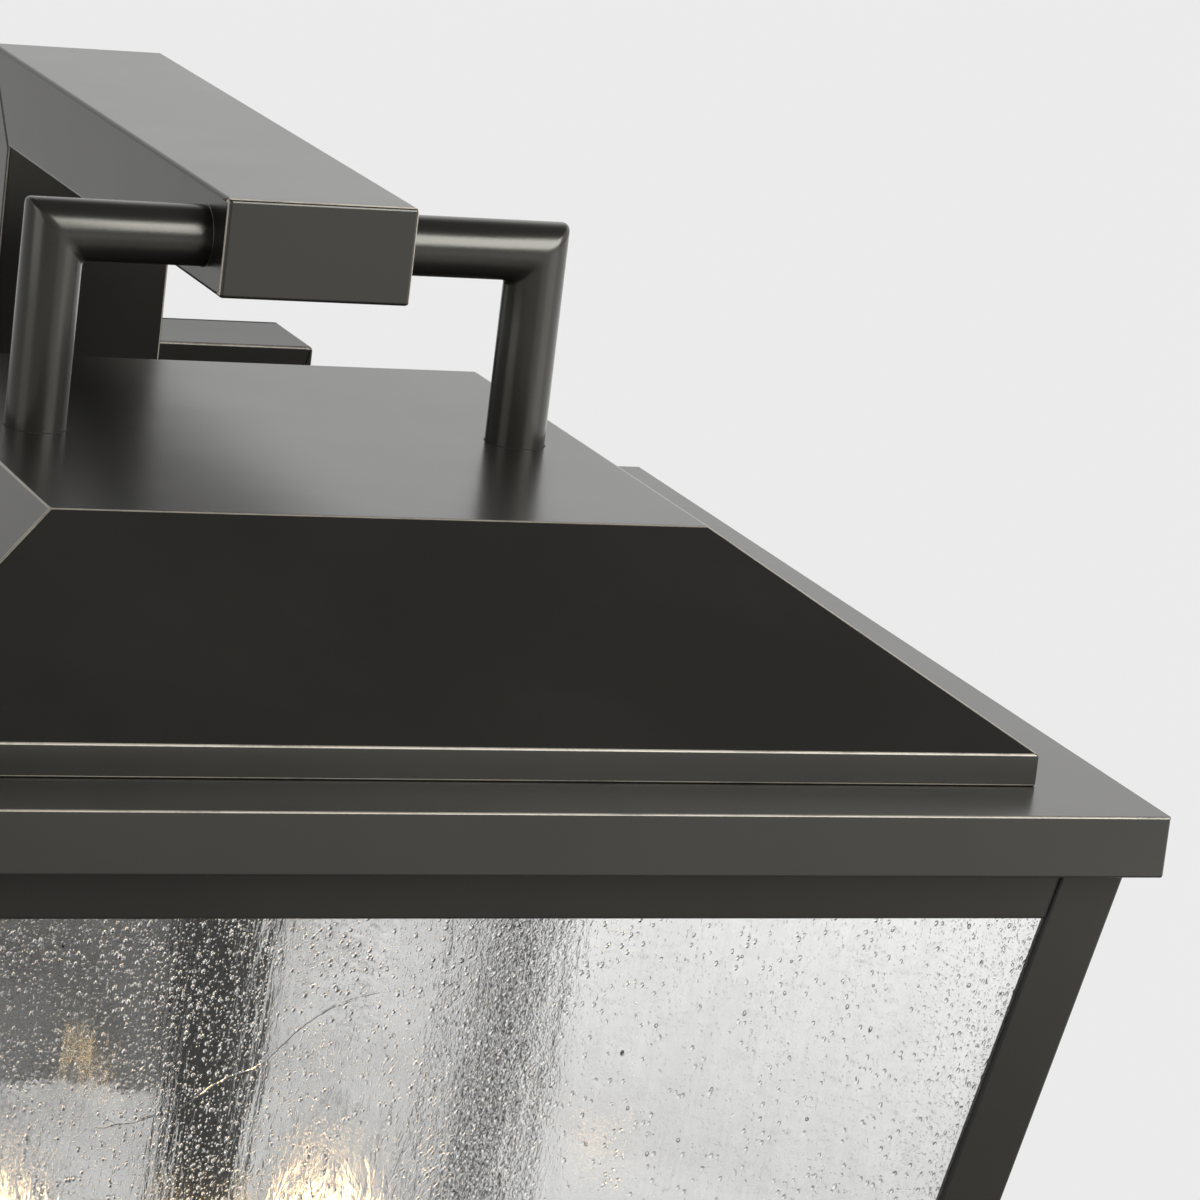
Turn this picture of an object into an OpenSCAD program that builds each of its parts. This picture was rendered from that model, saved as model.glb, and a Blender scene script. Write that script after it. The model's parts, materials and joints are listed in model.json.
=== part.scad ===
// Wall lantern: a square, leaning glass cage under a hipped roof, hung by a tube yoke from a flat arm.
// The origin is the middle of the wall plate's back face. X is right, -Y points out of the wall, Z is up.
// Inside at_lantern() the origin is the cage's axis at the height of the eave's top face.

/* [Place of the lantern] */
// Gap between the wall post and the eave
post_gap = 4.7; // [3:0.1:12]
// Height of the eave's top face above the wall plate's middle
eave_up = 77.7; // [60:0.1:90]

/* [Roof and eave] */
// Overhang of the square eave past the cage
eave_over = 5.75; // [5:0.05:10]
// Height of the eave's turned-down edge
eave_h = 13.4; // [11:0.1:18]
// Setback of the roof's upright skirt from the eave's edge
skirt_step = 21.65; // [18:0.05:26]
// Height of the roof's upright skirt
skirt_h = 6.9; // [4:0.1:12]
// Width of the roof's flat top
roof_top_w = 147.1; // [144:0.1:170]
// Height of the roof's flat top above the eave
roof_h = 40.6; // [34:0.1:55]
// Thickness of the roof and eave sheet
sheet = 1.2; // [1:0.1:1.6]
// Width of the roof's inner foot flange
foot_flange = 12; // [9:0.5:14]

/* [Cage] */
// Width of the cage where it leaves the eave
cage_w = 293.5; // [288:0.1:296]
// Height of the cage below the eave
cage_h = 330; // [322:1:345]
// Inward lean of each side, as a share of the height
lean = 0.152; // [0.14:0.001:0.16]
// Width of a corner post's face
post_face = 14.7; // [14:0.1:18]
// Height of the top rail that shows below the eave
top_rail_h = 11.5; // [9:0.1:16]
// Height of the bottom rail
bottom_rail_h = 14; // [11:0.5:20]
// Thickness of the posts and rails
frame_t = 2; // [1.5:0.1:2.5]
// Width of the rails' inner flange
rail_flange = 12; // [11:0.1:12.5]
// Thickness of the glass
glass_t = 3; // [2.5:0.1:4]
// Thickness of a glass clip
clip_t = 0.8; // [0.6:0.1:1.2]
// Width of a glass clip
clip_w = 10; // [8:0.5:14]
// Distance of a glass clip from the middle of its rail
clip_x = 50; // [45:1:58]
// Distance of a cage stud from the middle of its rail
cage_stud_x = 100; // [85:1:110]

/* [Yoke and arm] */
// Outer diameter of the yoke tube
tube_d = 13.6; // [13:0.1:15]
// Bore of the yoke tube
tube_bore = 9.9; // [9.8:0.1:10.6]
// Distance between the yoke's legs
leg_spacing = 112.4; // [108:0.1:120]
// Height of the yoke bar's axis above the eave
bar_up = 84.7; // [80:0.1:110]
// Radius of the weld beads
weld_r = 1.2; // [1:0.1:2.5]
// Width of the arm and of the wall post
arm_w = 44; // [40:0.5:50]
// Height of the arm
arm_h = 22; // [20:0.5:26]
// Depth of the wall post
post_d = 21.9; // [20:0.1:26]
// Reach of the arm past the lantern's axis
arm_nose = 14.6; // [12:0.1:30]
// Wall of the arm and post tubes, and their end caps
arm_wall = 2; // [1.5:0.1:3]
// Height of the wall post's lower end above the wall plate's middle
post_low = -80; // [-90:1:-75]

/* [Wall plate] */
// Width of the wall plate
plate_w = 140; // [134:1:150]
// Height of the wall plate
plate_h = 200; // [190:1:220]
// Depth of the wall plate with its gasket
plate_d = 29.2; // [26:0.1:36]
// Radius of the wall plate's corners
plate_corner = 1; // [1:0.5:8]
// Thickness of the wall plate's shell
plate_wall = 1.6; // [1.2:0.1:2.5]
// Thickness of the gasket
gasket_t = 1.5; // [1:0.1:3]
// Width of the gasket
gasket_w = 6; // [4:0.5:10]
// Width and height of the mounting plate
bracket_w = 112; // [106:1:118]
// Thickness of the mounting plate
bracket_t = 2; // [1.5:0.1:3]
// Distance between the junction box screws
box_spacing = 88.9; // [82:0.1:90]
// Width of a junction box slot
slot_w = 4.8; // [4.2:0.1:5.5]
// End-to-end length of a junction box slot
slot_l = 12; // [8:0.5:14]
// Distance between the mounting studs
stud_spacing = 88.9; // [82:0.1:94]
// Diameter of the mounting studs
stud_d = 4.1; // [4:0.1:5]
// Diameter of a cap nut's dome
cap_nut_d = 11; // [9:0.5:13]
// Thickness of the backing plate
backing_t = 3; // [2:0.5:5]
// Width of the backing plate
backing_w = 60; // [50:1:66]
// Height of the backing plate
backing_h = 150; // [140:1:160]
// Height of the upper post screw above the wall plate's middle
screw_high = 55; // [50:1:60]
// Height of the lower post screw above the wall plate's middle
screw_low = -50; // [-55:1:-45]
// Diameter of the post screws
post_screw_d = 6; // [5:0.5:7]

/* [Lamps] */
// Number of lamps
lamps = 3; // [2:1:3]
// Distance of each lamp from the cage's axis
lamp_out = 46; // [44:0.5:52]
// Depth of the lamps' tips below the eave
lamp_tip = 122; // [105:1:128]
// Diameter of a lamp's glass
bulb_d = 35; // [30:0.5:38]
// Length of a lamp's glass
bulb_l = 75; // [65:1:80]
// Thickness of a lamp's glass
bulb_wall = 0.8; // [0.6:0.1:1.2]
// Diameter of a lamp's screw base
base_d = 11.8; // [11.6:0.1:12]
// Length of a lamp's screw base
base_l = 21; // [18:1:24]
// Diameter of a candle sleeve
sleeve_d = 22.2; // [21.6:0.1:26]
// Wall of a candle sleeve
sleeve_wall = 0.8; // [0.6:0.1:1.2]
// Length of a candle sleeve
sleeve_l = 84; // [75:1:86]
// Diameter of a drip cup
cup_d = 34; // [30:1:40]
// Diameter of a lamp arm's tube
arm_tube_d = 8; // [7:0.5:9]
// Bend radius of a lamp arm
arm_bend = 12; // [10:0.5:14]
// Diameter of the stem's cover tube
stem_d = 20; // [20:0.5:24]
// Diameter of the hub
hub_d = 32; // [30:1:38]
// Height of the hub
hub_h = 26; // [22:1:27]

/* [Nipples and nuts] */
// Diameter of the threaded nipples and of the stem pipe
nipple_d = 9.7; // [9.6:0.1:9.8]
// Bore of the nipples and of the stem pipe
nipple_bore = 6.4; // [5:0.1:7]
// Width and depth of the bar under the roof, along the wall
bridge_w = 24; // [23:1:30]
// Length of the bar under the roof
bridge_l = 140; // [135:1:142]
// Thickness of the bar under the roof
bridge_t = 3; // [2:0.5:4]
// Diameter of the large washers
washer_d = 22; // [21.5:0.5:23]
// Thickness of the large washers
washer_t = 1.2; // [1:0.1:2]
// Width across the flats of the nipple nuts
nut_flats = 14; // [13:0.5:14.5]
// Thickness of the nipple nuts
nut_t = 4; // [3:0.5:5]

/* [Base and door] */
// Height of the base frame
base_h = 12; // [12:0.5:18]
// Step of the base frame outside the cage
base_step = 5.4; // [4:0.1:8]
// Width of the base frame's lower lip
lip = 12; // [10:0.5:13]
// Gap between the door and the base frame
door_gap = 0.3; // [0.2:0.05:0.6]
// Setback of the door's edge from the base frame's
door_inset = 0.5; // [0.4:0.1:1.5]
// Height of the door's turned-down rim
door_rim = 6; // [5:0.5:8]
// Diameter of a vent hole
vent_d = 6; // [4:0.5:8]
// Number of vent holes in the ring
vents = 16; // [8:1:20]
// Radius of the ring of vent holes
vent_ring = 52; // [40:1:60]
// Radius of a hinge knuckle
knuckle_r = 3; // [2.6:0.1:3.5]
// Radius of the hinge pin
pin_r = 1.5; // [1.2:0.1:1.7]
// Length of the hinge
hinge_length = 90; // [70:1:120]
// Length of the door's knuckle
door_knuckle_l = 30; // [20:1:40]
// Diameter of the latch knob
knob_d = 14; // [12:0.5:18]
// Height of the latch knob
knob_h = 8; // [7:0.5:12]
// Diameter of the latch's shaft
shaft_d = 5; // [4:0.5:6]
// Bite of the latch's tongue on the lip
latch_bite = 6; // [4:0.5:8]
// Distance of the latch's axis from the lip's edge
latch_in = 10; // [8:0.5:14]

/* [Hidden] */
$fn = 64;

bronze = [0.2, 0.18, 0.16];
steel = [0.62, 0.63, 0.65];
glass = [0.85, 0.9, 0.9, 0.35];

// Clearances: a fixed piece in its hole, and a pin that turns in its bore
fit_gap = 0.05;
pin_gap = 0.05;
// Overrun of a cutting shape past the face that it opens
over = 1;

// Eave, skirt and place of the lantern, which follow the cage's width
eave_w = cage_w + 2 * eave_over;
skirt_w = eave_w - 2 * skirt_step;
axis_out = plate_d + post_d + post_gap + eave_w / 2;
// Larger than the whole lantern
wide = 2 * eave_w;

// Heights in the lantern's own frame, where the eave's top face is zero
cage_top = -sheet;
cage_low = -eave_h - cage_h;
glass_tuck = 1;
glass_top = -eave_h - glass_tuck;
base_low = cage_low - base_h;
door_top = base_low - door_gap;
hinge_z = base_low - door_gap / 2;
top_rail_low = -eave_h - top_rail_h;
bottom_rail_top = cage_low + bottom_rail_h;
bridge_top = roof_h - sheet;
bridge_low = bridge_top - bridge_t;
nut_top = bridge_low - washer_t;
nut_low = nut_top - nut_t;

// Half widths of the cage's faces. inset is measured square to the leaning face.
lean_stretch = sqrt(1 + lean * lean);
function half_at(z, inset = 0) = cage_w / 2 + lean * (z + eave_h) - inset * lean_stretch;

// Half widths of the roof's sloping faces
roof_run = (skirt_w - roof_top_w) / 2;
roof_rise = roof_h - skirt_h;
roof_slant = sqrt(roof_run * roof_run + roof_rise * roof_rise);
function roof_half(z, inset = 0) =
    roof_top_w / 2 + (roof_h - z) * roof_run / roof_rise - inset * roof_slant / roof_rise;

// Foot flange of the roof, and the opening of the eave under it
foot_half = skirt_w / 2 - sheet - foot_flange;
rivet_out = skirt_w / 2 - sheet - foot_flange / 2;
rivet_x = skirt_w / 4;
rivet_r = 1.6;
rivet_head_r = 3;
rivet_head_t = 1;

// Rails, their studs and nuts
rail_in = half_at(cage_top, frame_t);
cage_stud_out = rail_in - rail_flange / 2;
cage_stud_r = 2;
cage_stud_l = 7;
cage_nut_flats = 7;
cage_nut_t = 3.2;
clip_grip = 10;

// Yoke and nipples
leg_x = leg_spacing / 2;
nipple_r = nipple_d / 2;
nipple_grip = 15;
nipple_end = 2;

// Arm and wall post, in the lantern's frame
arm_top = bar_up + arm_h / 2;
arm_low = arm_top - arm_h;
post_back = axis_out - plate_d;
post_front = post_back - post_d;
post_end = post_low - eave_up;
function mitre_y(z) = post_front + (z - arm_low) * post_d / arm_h;
function mitre_z(y) = arm_low + (y - post_front) * arm_h / post_d;

// Wall plate and its fastenings
stud_x = stud_spacing / 2;
stud_tip = 1;
box_z = box_spacing / 2;
wire_hole_r = 8;
wire_hole_z = 24;
ground_z = -24;
ground_r = 2;
plate_front = -plate_d;
backing_back = plate_front + plate_wall + backing_t;

// Lamp cluster
bulb_low = -lamp_tip - bulb_l;
bulb_rise = 6;
sleeve_top = bulb_low - bulb_rise;
sleeve_low = sleeve_top - sleeve_l;
cup_t = 1.2;
cup_h = 5;
arm_tube_wall = 1;
arm_tail = 7;
wall_in_hub = 3;
arm_rise = 5;
arm_z = sleeve_low - cup_t - arm_rise - arm_bend;
hub_top = arm_z + hub_h / 2;
hub_low = arm_z - hub_h / 2;
pipe_tail = 6;
socket_r = 9.6;
socket_h = 42;

// Base frame, door, hinge and latch
base_half = half_at(cage_low) + base_step;
base_open = half_at(cage_low, frame_t) - rail_flange;
base_screw_x = 60;
base_screw_in = 4;
base_screw_out = base_open + base_screw_in;
base_screw_r = 1.5;
lip_half = base_half - sheet - lip;
lip_top = base_low + sheet;
door_half = base_half - door_inset;
door_low = door_top - sheet;
leaf_t = 1.2;
leaf_h = 10;
knuckle_out = 0.4;
hinge_y = base_half + knuckle_r + knuckle_out;
knuckle_gap = 0.3;
knuckle_end = door_knuckle_l / 2 + knuckle_gap;
latch_y = -lip_half + latch_in;
tongue_low = lip_top + door_gap;
tongue_t = 1.5;
tongue_w = 10;

module at_lantern() {
    translate([0, -axis_out, eave_up]) children();
}

// The four sides are the front one, turned
function side_turn(side) = side == "front" ? 0 : side == "right" ? 90 : side == "back" ? 180 : 270;

module on_side(side) {
    rotate([0, 0, side_turn(side)]) children();
}

module on_all_sides() {
    for (side = ["front", "right", "back", "left"]) on_side(side) children();
}

module on_both(x) {
    for (s = [-1, 1]) translate([s * x, 0, 0]) children();
}

// An outline drawn in X and Z, run along Y, and one drawn in Y and Z, run along X
module along_y(length) {
    rotate([90, 0, 0]) linear_extrude(height = length, center = true) children();
}

module along_x(length) {
    rotate([90, 0, 90]) linear_extrude(height = length, center = true) children();
}

module tube(r_out, r_in, h) {
    difference() {
        cylinder(r = r_out, h = h);
        translate([0, 0, -over]) cylinder(r = r_in, h = h + 2 * over);
    }
}

module hex(flats, h) {
    cylinder(r = flats / 2 / cos(30), h = h, $fn = 6);
}

module hex_nut(flats, bore_r, h) {
    difference() {
        hex(flats, h);
        translate([0, 0, -over]) cylinder(r = bore_r, h = h + 2 * over);
    }
}

module trapezoid(half_low, z_low, half_high, z_high) {
    polygon([[-half_low, z_low], [half_low, z_low], [half_high, z_high], [-half_high, z_high]]);
}

// A square block whose four sides slope
module square_taper(half_low, z_low, half_high, z_high) {
    intersection() {
        along_y(wide) trapezoid(half_low, z_low, half_high, z_high);
        along_x(wide) trapezoid(half_low, z_low, half_high, z_high);
    }
}

module square_block(half, z_low, z_high) {
    translate([-half, -half, z_low]) cube([2 * half, 2 * half, z_high - z_low]);
}

// The sheet between two insets of the cage's leaning faces
module cage_layer(inset, thick, z_low, z_high) {
    difference() {
        square_taper(half_at(z_low, inset), z_low, half_at(z_high, inset), z_high);
        square_taper(half_at(z_low - over, inset + thick), z_low - over,
                     half_at(z_high + over, inset + thick), z_high + over);
    }
}

// The front stretch of that sheet, up to margin short of the corner edge
module cage_strip(inset, thick, z_low, z_high, margin) {
    intersection() {
        cage_layer(inset, thick, z_low, z_high);
        translate([0, -wide / 2, 0]) along_y(wide)
            trapezoid(half_at(z_low) - margin, z_low, half_at(z_high) - margin, z_high);
    }
}

module rounded_rect(w, h, r) {
    square([w, h - 2 * r], center = true);
    square([w - 2 * r, h], center = true);
    for (x = [-1, 1], y = [-1, 1]) translate([x * (w / 2 - r), y * (h / 2 - r)]) circle(r = r);
}

// A plate standing against the wall, from y_back out to y_front
module wall_sheet(w, h, r, y_front, y_back) {
    translate([0, (y_front + y_back) / 2, 0]) along_y(y_back - y_front) rounded_rect(w, h, r);
}

module rod_y(r, y_front, y_back) {
    translate([0, y_back, 0]) rotate([90, 0, 0]) cylinder(r = r, h = y_back - y_front);
}

module wall_gasket() {
    color([0.12, 0.12, 0.12]) difference() {
        wall_sheet(plate_w, plate_h, plate_corner, -gasket_t, 0);
        wall_sheet(plate_w - 2 * gasket_w, plate_h - 2 * gasket_w, plate_corner, -gasket_t - over, over);
    }
}

module mounting_plate() {
    slot_r = slot_w / 2;
    color(steel) difference() {
        wall_sheet(bracket_w, bracket_w, plate_corner, -bracket_t, 0);
        on_both(stud_x) rod_y(stud_d / 2 + fit_gap, -bracket_t - over, over);
        for (s = [-1, 1]) translate([0, 0, s * box_z])
            along_y(2 * bracket_t + 2 * over) {
                square([slot_w, slot_l - slot_w], center = true);
                for (e = [-1, 1]) translate([0, e * (slot_l / 2 - slot_r)]) circle(r = slot_r);
            }
        translate([0, 0, wire_hole_z]) rod_y(wire_hole_r, -bracket_t - over, over);
        translate([0, 0, ground_z]) rod_y(ground_r, -bracket_t - over, over);
    }
}

module mounting_studs() {
    color(steel) on_both(stud_x) rod_y(stud_d / 2, plate_front - cap_nut_d / 2 - stud_tip, 0);
}

module stud_nuts() {
    flats = 7.9;
    thick = 3.2;
    color(steel) on_both(stud_x) translate([0, -bracket_t, 0]) rotate([90, 0, 0])
        hex_nut(flats, stud_d / 2 + fit_gap, thick);
}

module cap_nuts() {
    dome_r = cap_nut_d / 2;
    skirt = 5;
    brim = 1;
    brim_t = 1.2;
    color(bronze) on_both(stud_x) translate([0, plate_front, 0]) rotate([90, 0, 0]) difference() {
        union() {
            cylinder(r = dome_r + brim, h = brim_t);
            cylinder(r = dome_r, h = skirt);
            translate([0, 0, skirt]) intersection() {
                sphere(r = dome_r);
                translate([-dome_r, -dome_r, 0]) cube([cap_nut_d, cap_nut_d, dome_r]);
            }
        }
        translate([0, 0, -over]) cylinder(r = stud_d / 2 + fit_gap, h = dome_r + stud_tip + fit_gap + over);
    }
}

module ground_screw() {
    head_r = 4.2;
    head_t = 2.6;
    cut_w = 1;
    cut_t = 1;
    color([0.1, 0.45, 0.2]) translate([0, 0, ground_z]) {
        rod_y(ground_r - fit_gap, -bracket_t - head_t + cut_t, 0);
        difference() {
            rod_y(head_r, -bracket_t - head_t, -bracket_t);
            translate([-head_r - over, -bracket_t - head_t - over, -cut_w / 2])
                cube([2 * head_r + 2 * over, cut_t + over, cut_w]);
        }
    }
}

module backplate() {
    inner_w = plate_w - 2 * plate_wall;
    inner_h = plate_h - 2 * plate_wall;
    color(bronze) difference() {
        wall_sheet(plate_w, plate_h, plate_corner, plate_front, -gasket_t);
        wall_sheet(inner_w, inner_h, plate_corner, plate_front + plate_wall, over);
        on_both(stud_x) rod_y(stud_d / 2 + fit_gap, plate_front - over, 0);
        post_screw_places() rod_y(post_screw_d / 2 + fit_gap, plate_front - over, 0);
        rod_y(wire_hole_r, plate_front - over, 0);
    }
}

module post_screw_places() {
    for (z = [screw_low, screw_high]) translate([0, 0, z]) children();
}

module backing_plate() {
    color(steel) difference() {
        wall_sheet(backing_w, backing_h, plate_corner, plate_front + plate_wall, backing_back);
        post_screw_places() rod_y(post_screw_d / 2 + fit_gap, plate_front, 0);
        rod_y(wire_hole_r, plate_front, 0);
    }
}

module post_screws() {
    head_t = 4;
    flats = 10;
    tail = 6;
    color(steel) post_screw_places() {
        rod_y(post_screw_d / 2, plate_front - arm_wall - tail, backing_back);
        translate([0, backing_back + head_t, 0]) rotate([90, 0, 0]) hex(flats, head_t);
    }
}

module wall_post() {
    low = post_end + arm_wall;
    color(bronze) difference() {
        at_lantern() along_x(arm_w) polygon([
            [post_front, low], [post_back, low], [post_back, arm_top], [post_front, arm_low]
        ]);
        at_lantern() along_x(arm_w - 2 * arm_wall) polygon([
            [post_front + arm_wall, low - over], [post_back - arm_wall, low - over],
            [post_back - arm_wall, mitre_z(post_back - arm_wall)],
            [post_front + arm_wall, mitre_z(post_front + arm_wall)]
        ]);
        post_screw_places() rod_y(post_screw_d / 2 + fit_gap, plate_front - arm_wall - over, 0);
        rod_y(wire_hole_r, plate_front - arm_wall - over, 0);
    }
}

module support_arm() {
    front = -arm_nose + arm_wall;
    color(bronze) at_lantern() difference() {
        along_x(arm_w) polygon([
            [front, arm_low], [post_front, arm_low], [post_back, arm_top], [front, arm_top]
        ]);
        along_x(arm_w - 2 * arm_wall) polygon([
            [front - over, arm_low + arm_wall], [mitre_y(arm_low + arm_wall), arm_low + arm_wall],
            [mitre_y(arm_top - arm_wall), arm_top - arm_wall], [front - over, arm_top - arm_wall]
        ]);
        translate([-arm_w, 0, bar_up]) rotate([0, 90, 0]) cylinder(r = tube_d / 2 + fit_gap, h = 2 * arm_w);
    }
}

module arm_caps() {
    color(bronze) at_lantern() {
        translate([-arm_w / 2, -arm_nose, arm_low]) cube([arm_w, arm_wall, arm_h]);
        translate([-arm_w / 2, post_front, post_end]) cube([arm_w, post_d, arm_wall]);
    }
}

// The yoke's outline is cut along the mitres at its two top corners
module yoke_bar() {
    r = tube_d / 2;
    wire_r = 3;
    color(bronze) at_lantern() difference() {
        intersection() {
            translate([-leg_x - r, 0, bar_up]) rotate([0, 90, 0]) difference() {
                cylinder(r = r, h = leg_spacing + tube_d);
                translate([0, 0, -over]) cylinder(r = tube_bore / 2, h = leg_spacing + tube_d + 2 * over);
            }
            along_y(2 * tube_d) trapezoid(leg_x - r, bar_up - r, leg_x + r, bar_up + r);
        }
        translate([0, 0, bar_up]) rotate([-90, 0, 0]) cylinder(r = wire_r, h = tube_d);
    }
}

module yoke_leg() {
    r = tube_d / 2;
    color(bronze) at_lantern() intersection() {
        translate([leg_x, 0, roof_h]) tube(r, tube_bore / 2, bar_up + r - roof_h);
        along_y(2 * tube_d) polygon([
            [leg_x - r, roof_h], [leg_x + r, roof_h], [leg_x + r, bar_up + r], [leg_x - r, bar_up - r]
        ]);
    }
}

module yoke_leg_left() {
    mirror([1, 0, 0]) yoke_leg();
}

module yoke_leg_right() {
    yoke_leg();
}

module weld_bead() {
    rotate_extrude() translate([tube_d / 2, 0]) intersection() {
        circle(r = weld_r);
        square(weld_r);
    }
}

module yoke_welds() {
    color(bronze) at_lantern() {
        on_both(leg_x) translate([0, 0, roof_h]) weld_bead();
        for (s = [-1, 1]) translate([s * arm_w / 2, 0, bar_up]) rotate([0, s * 90, 0]) weld_bead();
    }
}

module leg_nipples() {
    low = nut_low - nipple_end;
    color(steel) at_lantern() on_both(leg_x) translate([0, 0, low])
        tube(nipple_r, nipple_bore / 2, roof_h + nipple_grip - low);
}

module nipple_places() {
    for (x = [-leg_x, 0, leg_x]) translate([x, 0, 0]) children();
}

module roof_bridge() {
    color(steel) at_lantern() difference() {
        translate([-bridge_l / 2, -bridge_w / 2, bridge_low]) cube([bridge_l, bridge_w, bridge_t]);
        nipple_places() translate([0, 0, bridge_low - over])
            cylinder(r = nipple_r + fit_gap, h = bridge_t + 2 * over);
    }
}

module roof_washers() {
    color(steel) at_lantern() nipple_places() translate([0, 0, nut_top])
        tube(washer_d / 2, nipple_r + fit_gap, washer_t);
}

module roof_nuts() {
    color(steel) at_lantern() nipple_places() translate([0, 0, nut_low])
        hex_nut(nut_flats, nipple_r + fit_gap, nut_t);
}

module rivet_places() {
    on_all_sides() on_both(rivet_x) translate([0, -rivet_out, 0]) children();
}

module roof_cap() {
    inner_half = skirt_w / 2 - sheet;
    color(bronze) at_lantern() difference() {
        union() {
            square_block(skirt_w / 2, 0, skirt_h);
            square_taper(skirt_w / 2, skirt_h, roof_top_w / 2, roof_h);
        }
        square_block(foot_half, -over, sheet + over);
        square_block(inner_half, sheet, skirt_h - sheet);
        square_taper(min(inner_half, roof_half(skirt_h - sheet, sheet)), skirt_h - sheet - fit_gap,
                     roof_half(roof_h - sheet, sheet), roof_h - sheet);
        on_both(leg_x) translate([0, 0, roof_h - sheet - over])
            cylinder(r = nipple_r + fit_gap, h = sheet + 2 * over);
        rivet_places() translate([0, 0, -over]) cylinder(r = rivet_r + fit_gap, h = sheet + 2 * over);
    }
}

module roof_rivets() {
    color(bronze) at_lantern() rivet_places() {
        translate([0, 0, -sheet]) cylinder(r = rivet_r, h = 2 * sheet);
        translate([0, 0, sheet]) cylinder(r = rivet_head_r, h = rivet_head_t);
        translate([0, 0, -sheet - rivet_head_t]) cylinder(r = rivet_head_r, h = rivet_head_t);
    }
}

module cage_stud_places() {
    on_all_sides() on_both(cage_stud_x) translate([0, -cage_stud_out, 0]) children();
}

module eave_plate() {
    color(bronze) at_lantern() {
        difference() {
            square_block(eave_w / 2, -eave_h, 0);
            square_block(eave_w / 2 - sheet, -eave_h - over, -sheet);
            square_block(foot_half, -eave_h, over);
            rivet_places() translate([0, 0, -sheet - over])
                cylinder(r = rivet_r + fit_gap, h = sheet + 2 * over);
        }
        cage_stud_places() translate([0, 0, -sheet - cage_stud_l])
            cylinder(r = cage_stud_r, h = cage_stud_l);
    }
}

// A corner post: an angle leaning with both of its faces. sx and sy pick the corner.
module corner_post(sx, sy) {
    color(bronze) at_lantern() intersection() {
        difference() {
            cage_layer(0, frame_t, cage_low, cage_top);
            along_y(wide) cage_window();
            along_x(wide) cage_window();
        }
        translate([sx > 0 ? 0 : -wide, sy > 0 ? 0 : -wide, cage_low - over])
            cube([wide, wide, cage_top - cage_low + 2 * over]);
    }
}

module cage_window() {
    low = cage_low - over;
    high = cage_top + over;
    trapezoid(half_at(low) - post_face, low, half_at(high) - post_face, high);
}

module top_rail(side) {
    reach = half_at(cage_top - frame_t) - post_face;
    color(bronze) at_lantern() on_side(side) difference() {
        union() {
            cage_strip(0, frame_t, top_rail_low, cage_top, post_face);
            translate([-reach, -rail_in, cage_top - frame_t]) cube([2 * reach, rail_flange, frame_t]);
        }
        on_both(cage_stud_x) translate([0, -cage_stud_out, cage_top - frame_t - over])
            cylinder(r = cage_stud_r + fit_gap, h = frame_t + 2 * over);
    }
}

module bottom_rail(side) {
    reach = half_at(cage_low) - post_face;
    outer = half_at(cage_low);
    color(bronze) at_lantern() on_side(side) {
        cage_strip(0, frame_t, cage_low, bottom_rail_top, post_face);
        difference() {
            translate([-reach, -outer, cage_low]) cube([2 * reach, outer - base_open, frame_t]);
            on_both(base_screw_x) translate([0, -base_screw_out, cage_low - over])
                cylinder(r = base_screw_r + fit_gap, h = frame_t + 2 * over);
        }
    }
}

module cage_nuts() {
    color(steel) at_lantern() cage_stud_places() translate([0, 0, cage_top - frame_t - cage_nut_t])
        hex_nut(cage_nut_flats, cage_stud_r + fit_gap, cage_nut_t);
}

module glass_pane(side) {
    margin = (frame_t + glass_t) * lean_stretch + glass_tuck;
    color(glass) at_lantern() on_side(side)
        cage_strip(frame_t + fit_gap, glass_t, cage_low + frame_t, glass_top, margin);
}

// Tabs on the rails' flanges that hold the glass against the frame
module glass_clips() {
    inset = frame_t + glass_t + 2 * fit_gap;
    color(steel) at_lantern() on_all_sides() on_both(clip_x) {
        clip(inset, glass_top - clip_grip, cage_top - frame_t);
        clip(inset, cage_low + frame_t, cage_low + frame_t + clip_grip);
    }
}

module clip(inset, z_low, z_high) {
    intersection() {
        cage_layer(inset, clip_t, z_low, z_high);
        translate([-clip_w / 2, -wide, z_low]) cube([clip_w, wide, z_high - z_low]);
    }
}

module stem_pipe() {
    low = hub_low - pipe_tail;
    color(steel) at_lantern() translate([0, 0, low]) tube(nipple_r, nipple_bore / 2, bridge_top - low);
}

module stem_cover() {
    color(bronze) at_lantern() translate([0, 0, hub_top])
        tube(stem_d / 2, stem_d / 2 - sheet, nut_top - hub_top);
}

// The lamps stand evenly round the axis, one of them at the front
module at_lamps() {
    for (i = [0 : lamps - 1]) rotate([0, 0, i * 360 / lamps]) translate([0, -lamp_out, 0]) children();
}

module cluster_hub() {
    r = hub_d / 2;
    chamfer = 5;
    seat = 1;
    color(bronze) at_lantern() difference() {
        rotate_extrude() polygon([
            [nipple_r + fit_gap, hub_low], [r - chamfer, hub_low], [r, hub_low + chamfer],
            [r, hub_top - chamfer], [stem_d / 2 + seat, hub_top], [nipple_r + fit_gap, hub_top]
        ]);
        for (i = [0 : lamps - 1]) rotate([0, 0, i * 360 / lamps]) translate([0, -nipple_r, arm_z])
            rotate([90, 0, 0]) cylinder(r = arm_tube_d / 2 + fit_gap, h = hub_d);
    }
}

module hub_finial() {
    brim_r = 8;
    brim_t = 3;
    ball_r = 7;
    color(bronze) at_lantern() translate([0, 0, hub_low]) difference() {
        union() {
            translate([0, 0, -brim_t]) cylinder(r = brim_r, h = brim_t);
            translate([0, 0, -pipe_tail - brim_t]) sphere(r = ball_r);
            translate([0, 0, -pipe_tail - brim_t]) cylinder(r = ball_r, h = pipe_tail);
        }
        translate([0, 0, -pipe_tail - fit_gap]) cylinder(r = nipple_r + fit_gap, h = pipe_tail + over);
    }
}

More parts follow.
